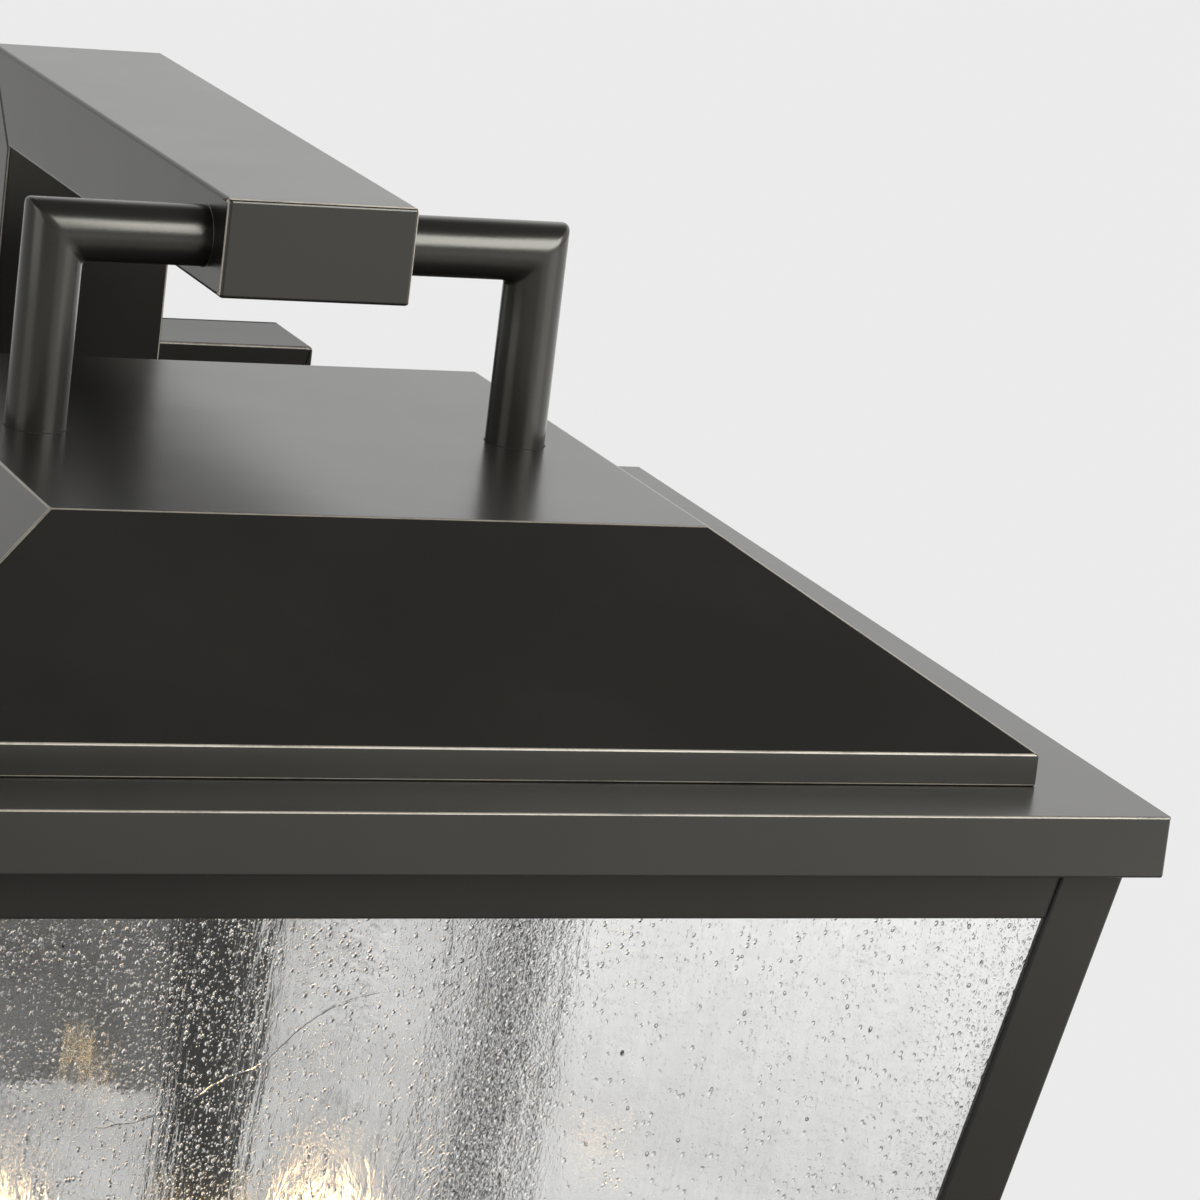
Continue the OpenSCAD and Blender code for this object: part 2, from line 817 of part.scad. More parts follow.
// One lamp arm's run at a given tube radius: out of the hub, round the bend and up through the cup
module lamp_arm_run(r) {
    level = lamp_out - arm_bend;
    rise = sleeve_low - cup_t - arm_z - arm_bend;
    start = nipple_r + wall_in_hub;
    translate([0, -start, arm_z]) rotate([90, 0, 0]) cylinder(r = r, h = level - start);
    translate([0, -level, arm_z + arm_bend]) rotate([90, 0, -90])
        rotate_extrude(angle = 90, start = 270) translate([arm_bend, 0]) circle(r = r);
    translate([0, -lamp_out, arm_z + arm_bend]) cylinder(r = r, h = rise + cup_t + arm_tail);
}

module lamp_arms() {
    r = arm_tube_d / 2;
    color(bronze) at_lantern() for (i = [0 : lamps - 1]) rotate([0, 0, i * 360 / lamps]) difference() {
        lamp_arm_run(r);
        lamp_arm_run(r - arm_tube_wall);
    }
}

module drip_cups() {
    hole = arm_tube_d / 2 + fit_gap;
    flare = 3;
    color(bronze) at_lantern() at_lamps() translate([0, 0, sleeve_low - cup_t]) rotate_extrude() polygon([
        [hole, 0], [cup_d / 2 - flare, 0], [cup_d / 2, cup_h], [cup_d / 2 - cup_t, cup_h],
        [cup_d / 2 - flare - cup_t / 2, cup_t], [hole, cup_t]
    ]);
}

module lamp_sockets() {
    hole = arm_tube_d / 2 + fit_gap;
    base_r = base_d / 2 + fit_gap;
    neck = 6;
    wire_r = 1;
    base_gap = 2;
    floor_z = bulb_low - base_l - base_gap;
    step_z = sleeve_low + arm_tail + 1;
    color([0.93, 0.92, 0.88]) at_lantern() at_lamps() rotate_extrude() polygon([
        [hole, sleeve_low], [neck, sleeve_low], [neck, sleeve_top - socket_h],
        [socket_r, sleeve_top - socket_h], [socket_r, sleeve_top], [base_r, sleeve_top],
        [base_r, floor_z], [wire_r, floor_z], [wire_r, step_z], [hole, step_z]
    ]);
}

module candle_sleeves() {
    r = sleeve_d / 2;
    color([0.9, 0.87, 0.78]) at_lantern() at_lamps() translate([0, 0, sleeve_low])
        tube(r, r - sleeve_wall, sleeve_l);
}

module lamp_bases() {
    r = base_d / 2;
    thread = 0.5;
    turns = 4;
    step = 3;
    rim = 3;
    shell = 16;
    tip_r = 2;
    tip_h = 1.5;
    outline = concat(
        [[0, 0], [r, 0], [r, -rim]],
        [for (i = [0 : turns - 1], k = [0, 1])
            [k == 0 ? r - thread : r, -rim - (i + (k + 1) / 2) * step]],
        [[r - thread, -shell], [tip_r, -base_l + tip_h], [tip_r, -base_l], [0, -base_l]]
    );
    color([0.78, 0.66, 0.38]) at_lantern() at_lamps() translate([0, 0, bulb_low])
        rotate_extrude() polygon(outline);
}

// Radius of a torpedo-shaped lamp glass at a share t of its length, from its neck to its tip
neck_r = 5.6;
function bulb_r(t, wall = 0) =
    max(0, neck_r * (1 - t) + (bulb_d / 2 - neck_r / 2) * sin(180 * pow(t, 0.75)) * (1 - 0.25 * t) - wall);
bulb_steps = 24;

module lamp_bulbs() {
    color(glass) at_lantern() at_lamps() translate([0, 0, bulb_low]) rotate_extrude() polygon(concat(
        [for (i = [0 : bulb_steps]) [bulb_r(i / bulb_steps), i / bulb_steps * bulb_l]],
        [for (i = [bulb_steps : -1 : 0]) let (t = i / bulb_steps)
            [bulb_r(t, bulb_wall), t * (bulb_l - bulb_wall)]]
    ));
}

module lamp_filaments() {
    mount_r = 2.2;
    mount_h = 22;
    spread = 5;
    lead_r = 0.4;
    coil_r = 0.9;
    coil_z = 50;
    coil_end = 1;
    lead_z = mount_h - 2;
    color([1, 0.75, 0.4]) at_lantern() at_lamps() translate([0, 0, bulb_low]) {
        cylinder(r = mount_r, h = mount_h);
        translate([0, 0, lead_z]) rotate([0, 90, 0]) cylinder(r = lead_r, h = 2 * spread, center = true);
        on_both(spread) translate([0, 0, lead_z - lead_r]) cylinder(r = lead_r, h = coil_z - lead_z);
        translate([0, 0, coil_z]) rotate([0, 90, 0])
            cylinder(r = coil_r, h = 2 * (spread + coil_end), center = true);
    }
}

module base_frame() {
    color(bronze) at_lantern() difference() {
        square_block(base_half, base_low, cage_low);
        square_block(base_half - sheet, base_low + sheet, cage_low - sheet);
        square_block(base_open, cage_low - sheet - over, cage_low + over);
        square_block(lip_half, base_low - over, base_low + sheet + over);
        base_screw_places() translate([0, 0, cage_low - sheet - over])
            cylinder(r = base_screw_r + fit_gap, h = sheet + 2 * over);
    }
}

module base_screw_places() {
    on_all_sides() on_both(base_screw_x) translate([0, -base_screw_out, 0]) children();
}

// Screws that hold the base frame to the bottom rails, driven from below
module base_screws() {
    head_t = 1.8;
    head_r = 2.8;
    color(steel) at_lantern() base_screw_places() translate([0, 0, cage_low - sheet]) {
        cylinder(r = base_screw_r, h = sheet + frame_t);
        translate([0, 0, -head_t]) cylinder(r = head_r, h = head_t);
    }
}

// A knuckle lies along X, round the pin
module knuckle(x_low, x_high) {
    translate([x_low, 0, 0]) rotate([0, 90, 0]) tube(knuckle_r, pin_r + pin_gap, x_high - x_low);
}

module at_hinge() {
    at_lantern() translate([0, hinge_y, hinge_z]) children();
}

module pin_bore() {
    rotate([0, 90, 0]) cylinder(r = pin_r + pin_gap, h = 2 * hinge_length, center = true);
}

module hinge_frame_leaf() {
    back = base_half - hinge_y;
    clear = knuckle_r + knuckle_gap;
    color(bronze) at_hinge() {
        for (s = [0, 1]) mirror([s, 0, 0]) difference() {
            union() {
                knuckle(knuckle_end, hinge_length / 2);
                translate([knuckle_end, back, door_gap / 2])
                    cube([hinge_length / 2 - knuckle_end, leaf_t, leaf_h - door_gap / 2]);
            }
            pin_bore();
        }
        translate([-hinge_length / 2, back, clear]) cube([hinge_length, leaf_t, leaf_h - clear]);
    }
}

module hinge_door_leaf() {
    half = door_knuckle_l / 2;
    back = door_half - hinge_y;
    clear = knuckle_r + knuckle_gap;
    leaf_low = door_rim + door_gap / 2;
    color(bronze) at_hinge() {
        difference() {
            union() {
                knuckle(-half, half);
                translate([-half, back, -leaf_low]) cube([door_knuckle_l, leaf_t, leaf_low - door_gap / 2]);
            }
            pin_bore();
        }
        translate([-hinge_length / 2, back, -leaf_low]) cube([hinge_length, leaf_t, leaf_low - clear]);
    }
}

module hinge_pin() {
    head_r = pin_r + 1;
    head_t = 1.5;
    color(bronze) at_hinge() {
        rotate([0, 90, 0]) cylinder(r = pin_r, h = hinge_length, center = true);
        for (s = [-1, 1]) translate([s * (hinge_length / 2 + head_t / 2), 0, 0]) rotate([0, 90, 0])
            cylinder(r = head_r, h = head_t, center = true);
    }
}

module door_panel() {
    color(bronze) at_lantern() difference() {
        square_block(door_half, door_top - door_rim, door_top);
        square_block(door_half - sheet, door_top - door_rim - over, door_low);
        for (i = [0 : vents - 1]) rotate([0, 0, i * 360 / vents]) translate([vent_ring, 0, door_low - over])
            cylinder(r = vent_d / 2, h = sheet + 2 * over);
        translate([0, latch_y, door_low - over]) cylinder(r = shaft_d / 2 + pin_gap, h = sheet + 2 * over);
    }
}

// The knob and its shaft turn in the door; the shoulder above the door carries the tongue
module latch_knob() {
    grips = 20;
    grip_r = 0.7;
    grip_depth = 0.5;
    brim_t = 2;
    shoulder = 1.5;
    r = knob_d / 2;
    knob_top = door_low - door_gap;
    color(bronze) at_lantern() translate([0, latch_y, 0]) {
        difference() {
            translate([0, 0, knob_top - knob_h]) cylinder(r = r, h = knob_h);
            for (i = [0 : grips - 1]) rotate([0, 0, i * 360 / grips])
                translate([r + grip_r - grip_depth, 0, knob_top - knob_h - over])
                    cylinder(r = grip_r, h = knob_h - brim_t + over, $fn = 16);
        }
        translate([0, 0, knob_top]) cylinder(r = shaft_d / 2, h = tongue_low + tongue_t - knob_top);
        translate([0, 0, door_top + door_gap])
            cylinder(r = shaft_d / 2 + shoulder, h = tongue_low - door_top - door_gap);
    }
}

module latch_tongue() {
    reach = latch_in + latch_bite;
    tail = shaft_d / 2 + 2.5;
    boss_h = 3;
    color(steel) at_lantern() translate([0, latch_y, tongue_low]) difference() {
        union() {
            translate([-tongue_w / 2, -reach, 0]) cube([tongue_w, reach + tail, tongue_t]);
            translate([0, 0, tongue_t]) hex(2 * tail, boss_h);
        }
        translate([0, 0, -over]) cylinder(r = shaft_d / 2 + fit_gap, h = tongue_t + fit_gap + over);
    }
}

wall_gasket();
mounting_plate();
mounting_studs();
stud_nuts();
cap_nuts();
ground_screw();
backplate();
backing_plate();
post_screws();
wall_post();
support_arm();
arm_caps();
yoke_bar();
yoke_leg_left();
yoke_leg_right();
yoke_welds();
leg_nipples();
roof_bridge();
roof_washers();
roof_nuts();
roof_cap();
eave_plate();
roof_rivets();
corner_post(-1, -1);  // corner_post_front_left
corner_post(1, -1);  // corner_post_front_right
corner_post(-1, 1);  // corner_post_back_left
corner_post(1, 1);  // corner_post_back_right
top_rail("front");  // top_rail_front
top_rail("back");  // top_rail_back
top_rail("left");  // top_rail_left
top_rail("right");  // top_rail_right
bottom_rail("front");  // bottom_rail_front
bottom_rail("back");  // bottom_rail_back
bottom_rail("left");  // bottom_rail_left
bottom_rail("right");  // bottom_rail_right
cage_nuts();
glass_pane("front");  // glass_front
glass_pane("back");  // glass_back
glass_pane("left");  // glass_left
glass_pane("right");  // glass_right
glass_clips();
stem_pipe();
stem_cover();
cluster_hub();
hub_finial();
lamp_arms();
drip_cups();
lamp_sockets();
candle_sleeves();
lamp_bases();
lamp_bulbs();
lamp_filaments();
base_frame();
base_screws();
hinge_frame_leaf();
hinge_pin();
door_panel();
hinge_door_leaf();
latch_knob();
latch_tongue();
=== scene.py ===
"""Square tapered wall lantern on a flat arm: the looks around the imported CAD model.

The row frame: origin in the middle of the wall plate's back face, X right, -Y out of the wall, Z up, metres.
The lantern's sizes are in millimetres here and are turned into metres with MM. The camera, the room, the
lights and all that a material measures are in metres.
"""
import json
import math
import random
from collections import namedtuple

import bmesh
import bpy
from mathutils import Matrix, Vector, noise

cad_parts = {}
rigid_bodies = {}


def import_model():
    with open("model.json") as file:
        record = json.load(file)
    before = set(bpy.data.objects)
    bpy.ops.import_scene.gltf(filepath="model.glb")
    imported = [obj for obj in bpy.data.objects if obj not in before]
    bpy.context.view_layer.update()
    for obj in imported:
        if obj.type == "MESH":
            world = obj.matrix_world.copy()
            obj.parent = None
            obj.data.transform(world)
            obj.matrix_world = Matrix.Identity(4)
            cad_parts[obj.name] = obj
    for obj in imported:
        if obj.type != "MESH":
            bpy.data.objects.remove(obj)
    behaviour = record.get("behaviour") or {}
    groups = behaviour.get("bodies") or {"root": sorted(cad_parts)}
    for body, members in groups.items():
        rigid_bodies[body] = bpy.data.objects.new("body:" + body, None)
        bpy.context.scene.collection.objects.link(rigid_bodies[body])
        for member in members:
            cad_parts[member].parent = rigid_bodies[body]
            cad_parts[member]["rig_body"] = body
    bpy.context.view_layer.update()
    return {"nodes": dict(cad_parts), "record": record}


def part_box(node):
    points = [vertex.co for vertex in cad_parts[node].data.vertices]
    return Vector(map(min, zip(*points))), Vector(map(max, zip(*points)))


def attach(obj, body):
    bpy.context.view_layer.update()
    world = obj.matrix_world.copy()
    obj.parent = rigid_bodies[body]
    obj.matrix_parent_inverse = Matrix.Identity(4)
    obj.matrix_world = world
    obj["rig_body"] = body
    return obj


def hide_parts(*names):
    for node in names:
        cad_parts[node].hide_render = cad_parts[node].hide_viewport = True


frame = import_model()

MM = 0.001
X, Y, Z = 0, 1, 2
NODES = frame["nodes"]
BODY_OF = {node: obj["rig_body"] for node, obj in NODES.items()}
SLOT_OF = {part["node"]: part["material_slot"] for part in frame["record"]["subparts"]}


def low_of(node, axis):
    """Where a CAD node's box starts on an axis, in millimetres."""
    return round(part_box(node)[0][axis] / MM, 3)


def high_of(node, axis):
    """Where a CAD node's box ends on an axis, in millimetres."""
    return round(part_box(node)[1][axis] / MM, 3)


# Sizes measured on the CAD nodes. Heights are counted from the eave's top face.
AXIS_OUT = -(low_of("eave_plate", Y) + high_of("eave_plate", Y)) / 2
EAVE_UP = high_of("eave_plate", Z)
EAVE_H = EAVE_UP - low_of("eave_plate", Z)
ROOF_H = high_of("roof_cap", Z) - EAVE_UP
SKIRT_HALF = high_of("roof_cap", X)
CAGE_LOW = low_of("corner_post_front_left", Z) - EAVE_UP
PANE_LOW = low_of("glass_front", Z) - EAVE_UP
PANE_HIGH = high_of("glass_front", Z) - EAVE_UP
TUBE_R = (high_of("yoke_bar", Z) - low_of("yoke_bar", Z)) / 2
LEG_X = high_of("yoke_bar", X) - TUBE_R
BAR_UP = high_of("yoke_bar", Z) - TUBE_R - EAVE_UP
ARM_HALF = high_of("support_arm", X)
BULB_LOW = low_of("lamp_bulbs", Z) - EAVE_UP

# Sizes that a box doesn't show: the cage's width under the eave, its lean, its sheet, the panes' thickness,
# the radius of the ring of lamps, and their number
CAGE_W = 293.5
LEAN = 0.152
FRAME_T = 2.0
GLASS_T = 3.0
LAMP_OUT = 46.0
LAMPS = 3
LEAN_STRETCH = math.sqrt(1 + LEAN * LEAN)


def lantern(x, y, z):
    """A point of the lantern's own frame, where the eave's top face is zero, in the row frame."""
    return Vector((x * MM, (y - AXIS_OUT) * MM, (z + EAVE_UP) * MM))


def half_at(z, inset=0.0):
    """Half the cage's width at a height, or that of a plane inside its outer face."""
    return CAGE_W / 2 + LEAN * (z + EAVE_H) - inset * LEAN_STRETCH


# Camera
CAMERA_AT = (-0.40661, -1.36241, 0.38554)
CAMERA_RIGHT = (0.9253, -0.3605, 0.1179)
CAMERA_UP = (-0.0207, 0.2625, 0.9647)
LENS = 168.96
SENSOR = 36
NEAREST, FARTHEST = 0.05, 200


def make_camera():
    """The camera that the lantern's straight edges were fitted to."""
    data = bpy.data.cameras.new("camera")
    data.lens = LENS
    data.sensor_width = SENSOR
    data.clip_start = NEAREST
    data.clip_end = FARTHEST
    camera = bpy.data.objects.new("camera", data)
    bpy.context.scene.collection.objects.link(camera)
    right = Vector(CAMERA_RIGHT).normalized()
    up = Vector(CAMERA_UP)
    up = (up - right * up.dot(right)).normalized()
    back = right.cross(up)
    turn = Matrix((right, up, back)).transposed()
    camera.matrix_world = Matrix.Translation(CAMERA_AT) @ turn.to_4x4()
    bpy.context.scene.camera = camera


make_camera()
bpy.context.scene.view_settings.view_transform = "Standard"


# Node helpers
class Graph:
    """A short way to write the nodes of a new material or world."""

    def __init__(self, owner, output="OutputMaterial"):
        owner.use_nodes = True
        self.owner = owner
        self.tree = owner.node_tree
        self.tree.nodes.clear()
        self.out = self.add(output)

    def add(self, kind, values=None, **settings):
        """A new node. values are for its sockets, each a number or another node's output."""
        node = self.tree.nodes.new("ShaderNode" + kind)
        for key, value in settings.items():
            setattr(node, key, value)
        for key, value in (values or {}).items():
            self.put(node.inputs[key], value)
        return node

    def put(self, socket, value):
        if isinstance(value, bpy.types.NodeSocket):
            self.tree.links.new(value, socket)
        else:
            socket.default_value = value

    def math(self, operation, first, second=None):
        node = self.add("Math", {0: first}, operation=operation)
        if second is not None:
            self.put(node.inputs[1], second)
        return node.outputs[0]

    def times(self, first, second):
        return self.math("MULTIPLY", first, second)

    def vector(self, operation, first, second=None, scale=None):
        node = self.add("VectorMath", {0: first}, operation=operation)
        if second is not None:
            self.put(node.inputs[1], second)
        if scale is not None:
            self.put(node.inputs["Scale"], scale)
        return node.outputs[1 if operation == "LENGTH" else 0]

    def noise(self, where, scale, detail, rough, distortion=0.0):
        node = self.add("TexNoise", {"Vector": where, "Scale": scale, "Detail": detail, "Roughness": rough,
                                     "Distortion": distortion})
        return node.outputs["Fac"]

    def ramp(self, value, low, high, to_low=0.0, to_high=1.0):
        """A soft step from to_low, where the value is low, to to_high, where it is high."""
        node = self.add("MapRange", {"Value": value, "From Min": low, "From Max": high,
                                     "To Min": to_low, "To Max": to_high}, interpolation_type="SMOOTHSTEP")
        return node.outputs[0]

    def mix(self, share, first, second):
        """Two colours mixed. The node's sockets 6 and 7 are its colours."""
        return self.add("Mix", {0: share, 6: first, 7: second}, data_type="RGBA").outputs[2]

    def mix_value(self, share, first, second):
        """Two numbers mixed. The node's sockets 2 and 3 are its numbers."""
        return self.add("Mix", {0: share, 2: first, 3: second}, data_type="FLOAT").outputs[0]

    def bump(self, height, strength, distance, normal=None):
        node = self.add("Bump", {"Height": height, "Strength": strength, "Distance": distance})
        if normal is not None:
            self.put(node.inputs["Normal"], normal)
        return node.outputs[0]

    def principled(self, **values):
        named = {key.replace("_", " "): value for key, value in values.items()}
        self.surface(self.add("BsdfPrincipled", named))

    def surface(self, shader):
        self.tree.links.new(shader.outputs[0], self.out.inputs["Surface"])

    def place(self):
        return self.add("TexCoord").outputs["Object"]


def material_graph(name):
    return Graph(bpy.data.materials.new(name))


def rgb(red, green, blue):
    return (red, green, blue, 1.0)


def grey(value):
    return rgb(value, value, value)


# Metal and plastic
BRONZE_DARK = rgb(0.0088, 0.0083, 0.0073)
BRONZE_LIGHT = rgb(0.0110, 0.0104, 0.0092)
BRONZE_SPECK = rgb(0.05, 0.046, 0.04)
BRONZE_GLOSS = rgb(1.0, 0.985, 0.88)
RUBBED = rgb(0.52, 0.47, 0.39)
BRUSHED = (25, 25, 2600)
PLATED_LINES = (300, 3000, 300)


def bronze(name, rub=0.0, rough=0.215, shine=0.5):
    """Dark antique bronze: satin, a fine orange peel, and at wear-marked edges the champagne metal under it.
    """
    graph = material_graph(name)
    at = graph.place()
    cloud = graph.noise(at, scale=14, detail=4, rough=0.6)
    speck = graph.noise(at, scale=900, detail=2, rough=0.6)
    peel = graph.noise(at, scale=420, detail=2, rough=0.55)
    grain = graph.noise(at, scale=1500, detail=2, rough=0.6)
    wave = graph.noise(at, scale=35, detail=1, rough=0.5)
    # The sheet was brushed level before it was coated, and faint hairlines show through
    hair = graph.noise(graph.vector("MULTIPLY", at, BRUSHED), scale=1.0, detail=2, rough=0.6)
    base = graph.mix(graph.ramp(cloud, low=0.35, high=0.68), BRONZE_DARK, BRONZE_LIGHT)
    base = graph.mix(graph.ramp(speck, low=0.62, high=0.8, to_high=0.08), base, BRONZE_SPECK)
    rough = graph.math("ADD", graph.math("ADD", graph.times(cloud, 0.05), rough), graph.times(hair, 0.03))
    normal = graph.bump(wave, strength=0.25, distance=0.0004)
    normal = graph.bump(peel, strength=0.2, distance=0.00004, normal=normal)
    normal = graph.bump(grain, strength=0.7, distance=0.000012, normal=normal)
    normal = graph.bump(hair, strength=0.5, distance=0.0000012, normal=normal)
    metal = 0.0
    if rub > 0:
        run = graph.noise(at, scale=60, detail=3, rough=0.6)
        wear = graph.math("ADD", graph.times(run, 0.75), graph.times(grain, 0.25))
        share = graph.times(graph.ramp(wear, low=0.34, high=0.54, to_low=0.5), rub)
        base = graph.mix(share, base, RUBBED)
        rough = graph.mix_value(share, rough, 0.42)
        metal = graph.times(share, 0.3)
    graph.principled(Base_Color=base, Roughness=rough, Metallic=metal, Normal=normal,
                     Specular_Tint=BRONZE_GLOSS, Specular_IOR_Level=shine)
    return graph.owner


def shade(colour, share):
    """A colour with less light in it."""
    return rgb(*(part * share for part in colour))


def plated(name, colour, rough=0.3):
    """Zinc plated or brass pieces: fine drawn lines and a cloudy passivated colour."""
    graph = material_graph(name)
    at = graph.place()
    cloud = graph.noise(at, scale=90, detail=4, rough=0.6)
    line = graph.noise(graph.vector("MULTIPLY", at, PLATED_LINES), scale=1.0, detail=2, rough=0.6)
    base = graph.mix(graph.ramp(cloud, low=0.3, high=0.7), shade(colour, 0.6), rgb(*colour))
    rough = graph.math("ADD", graph.times(line, 0.18), rough)
    normal = graph.bump(line, strength=0.12, distance=0.00002)
    graph.principled(Base_Color=base, Roughness=rough, Metallic=1.0, Normal=normal)
    return graph.owner


def moulded(name, colour, rough=0.45, grain=1500, depth=0.00002, patch=0.12):
    """Moulded plastic, rubber or foam: a slight mottle and a fine surface grain."""
    graph = material_graph(name)
    at = graph.place()
    cloud = graph.noise(at, scale=60, detail=3, rough=0.5)
    fine = graph.noise(at, scale=grain, detail=3, rough=0.6)
    base = graph.mix(graph.ramp(cloud, low=0.3, high=0.7), shade(colour, 1 - patch), rgb(*colour))
    rough = graph.math("ADD", graph.times(fine, 0.15), rough)
    normal = graph.bump(fine, strength=0.4, distance=depth)
    graph.principled(Base_Color=base, Roughness=rough, Normal=normal)
    return graph.owner


# Glass
# A wave: how fine it is across and down the sheet, per metre, its detail and swirl, and its depth
Wave = namedtuple("Wave", "across down detail swirl depth")
BROAD = Wave(90, 10, 3, 0.5, 0.00013)
ROLLING = Wave(55, 38, 2, 0.8, 0.00009)
LONG_FOLDS = Wave(190, 15, 2, 0.6, 0.00016)
TORN_FOLDS = Wave(230, 85, 3, 1.2, 0.00010)
STREAKS = Wave(520, 34, 4, 0.4, 0.00005)
FRETTED = Wave(900, 330, 3, 0.8, 0.00004)
RIPPLES = Wave(420, 110, 3, 0.8, 0.00024)
FINE_RIPPLES = Wave(1300, 700, 2, 0.6, 0.00008)

# A layer of seeds: cells per metre across and down, the share of cells that have one, the seeds' least and
# most radius in cells, how steep their rims are, and how far the cells are shifted
Layer = namedtuple("Layer", "across down share least most tilt shift")
SEEDS = (Layer(640, 450, 0.62, 0.12, 0.30, 1.35, 0.0), Layer(300, 200, 0.45, 0.06, 0.15, 1.2, 7.3),
         Layer(1500, 1050, 0.55, 0.15, 0.32, 1.1, 3.1), Layer(800, 130, 0.2, 0.05, 0.12, 1.1, 2.2))
SEEDS_FEW = (Layer(640, 450, 0.35, 0.07, 0.19, 0.9, 0.0), Layer(1100, 760, 0.4, 0.10, 0.20, 0.8, 3.1))
SEEDS_DENSE = SEEDS + (Layer(2100, 1500, 0.9, 0.25, 0.42, 1.1, 5.7),)

# The hair-like fold across the front sheet: places from left to right, with their heights over the middle of
# the wall plate, both in millimetres
FOLD = ((-80, 5.5), (-62.3, 7.5), (-53.6, 10.3), (-49.9, 13.2), (-44.5, 16.9), (-39.1, 19.1), (-34, 24.3),
        (-29.1, 29.4), (-22.3, 33.6), (-14.5, 35.6), (-10, 36.2))
FOLD_TOP = 0.04
GLASS_IOR = 1.5


class Sheet(Graph):
    """One face of a pane. along is its level axis, X or Y, and seed makes its noise its own."""

    def __init__(self, name, along, seed):
        super().__init__(bpy.data.materials.new(name))
        self.along = along
        self.seed = seed
        parts = self.add("SeparateXYZ", {"Vector": self.place()})
        self.level = parts.outputs[along]
        self.height = parts.outputs[Z]
        self.flat = self.add("CombineXYZ", {"X": self.level, "Y": self.height, "Z": seed}).outputs[0]
        self.normal = None

    def drawn(self, across, down, detail, swirl):
        """Noise that is stretched down the sheet."""
        stretched = self.vector("MULTIPLY", self.flat, (across, down, 1))
        return self.noise(stretched, scale=1.0, detail=detail, rough=0.6, distortion=swirl)

    def near(self, middle, reach, most=1.0):
        """A band round a place on the level axis, at its most in the inner third."""
        away = self.math("ABSOLUTE", self.math("SUBTRACT", self.level, middle))
        return self.ramp(away, low=0.35 * reach, high=reach, to_low=most, to_high=0.0)

    def wave(self, shape, share=None):
        """Adds a wave to the relief, everywhere or by its share of each place."""
        height = self.drawn(shape.across, shape.down, shape.detail, shape.swirl)
        if share is not None:
            height = self.times(height, share)
        self.normal = self.bump(height, strength=1.0, distance=shape.depth, normal=self.normal)

    def fold(self):
        """Adds the one hair-like fold, and lets it wander and fade a little."""
        left, right = FOLD[0][0] * MM, FOLD[-1][0] * MM
        bend = self.add("FloatCurve")
        bend.mapping.clip_min_x = 0
        bend.mapping.clip_min_y = 0
        points = bend.mapping.curves[0].points
        for i, (x, z) in enumerate(FOLD):
            spot = ((x * MM - left) / (right - left), z * MM / FOLD_TOP)
            if i < 2:
                points[i].location = spot
            else:
                points.new(*spot)
        bend.mapping.update()
        share = self.add("MapRange", {"Value": self.level, "From Min": left, "From Max": right}).outputs[0]
        self.put(bend.inputs["Value"], share)
        path = self.times(bend.outputs[0], FOLD_TOP)
        wander = self.noise(self.flat, scale=260, detail=2, rough=0.6)
        wander = self.times(self.math("SUBTRACT", wander, 0.5), 0.0016)
        gap = self.math("SUBTRACT", self.math("SUBTRACT", self.height, path), wander)
        line = self.ramp(self.math("ABSOLUTE", gap), low=0.00036, high=0.0)
        ends = self.times(self.ramp(share, low=0.0, high=0.5), self.ramp(share, low=1.0, high=0.9))
        faint = self.noise(self.flat, scale=110, detail=2, rough=0.6)
        ends = self.times(ends, self.ramp(faint, low=0.36, high=0.55, to_low=0.35))
        self.normal = self.bump(self.times(line, ends), strength=1.0, distance=0.00009, normal=self.normal)

    def density(self, front):
        """How dense the seeds are. The front sheet has most at its left and in two bands."""
        most = self.ramp(self.level, low=-0.045, high=0.035, to_low=1.15, to_high=0.42) if front else 1.0
        patches = self.noise(self.flat, scale=75, detail=2, rough=0.6)
        dense = self.times(self.ramp(patches, low=0.36, high=0.64, to_low=0.55, to_high=1.2), most)
        if front:
            dense = self.math("MAXIMUM", dense, self.near(0.011, 0.023, 1.35))
            dense = self.math("MAXIMUM", dense, self.ramp(self.level, low=0.085, high=0.135, to_high=1.1))
        return dense

    def seeds(self, layer, dense):
        """Adds a layer of seeds: a cell has one or none, drawn out a little along the sheet."""
        spot = self.vector("MULTIPLY", self.flat, (layer.across, layer.down, 0))
        spot = self.vector("ADD", spot, (layer.shift, layer.shift + self.seed, 0))
        cell = self.add("TexVoronoi", {"Vector": spot, "Scale": 1.0, "Randomness": 1.0},
                        voronoi_dimensions="2D")
        pick = self.add("SeparateXYZ", {"Vector": cell.outputs["Color"]}).outputs[0]
        off = self.vector("MULTIPLY", self.vector("SUBTRACT", spot, cell.outputs["Position"]), (1, 1, 0))
        few = self.math("SUBTRACT", 1.0, self.times(dense, layer.share))
        size = self.ramp(pick, few, 1.0, layer.least, layer.most)
        here = self.math("GREATER_THAN", pick, few)
        inside = self.times(self.math("LESS_THAN", self.vector("LENGTH", off), size), here)
        lean = self.vector("SCALE", off, scale=self.math("DIVIDE", layer.tilt, size))
        lean = self.add("SeparateXYZ", {"Vector": lean})
        push = self.add("CombineXYZ", {self.along: lean.outputs[0], Z: lean.outputs[1]}).outputs[0]
        push = self.vector("SCALE", push, scale=inside)
        self.normal = self.vector("NORMALIZE", self.vector("ADD", self.normal, push))


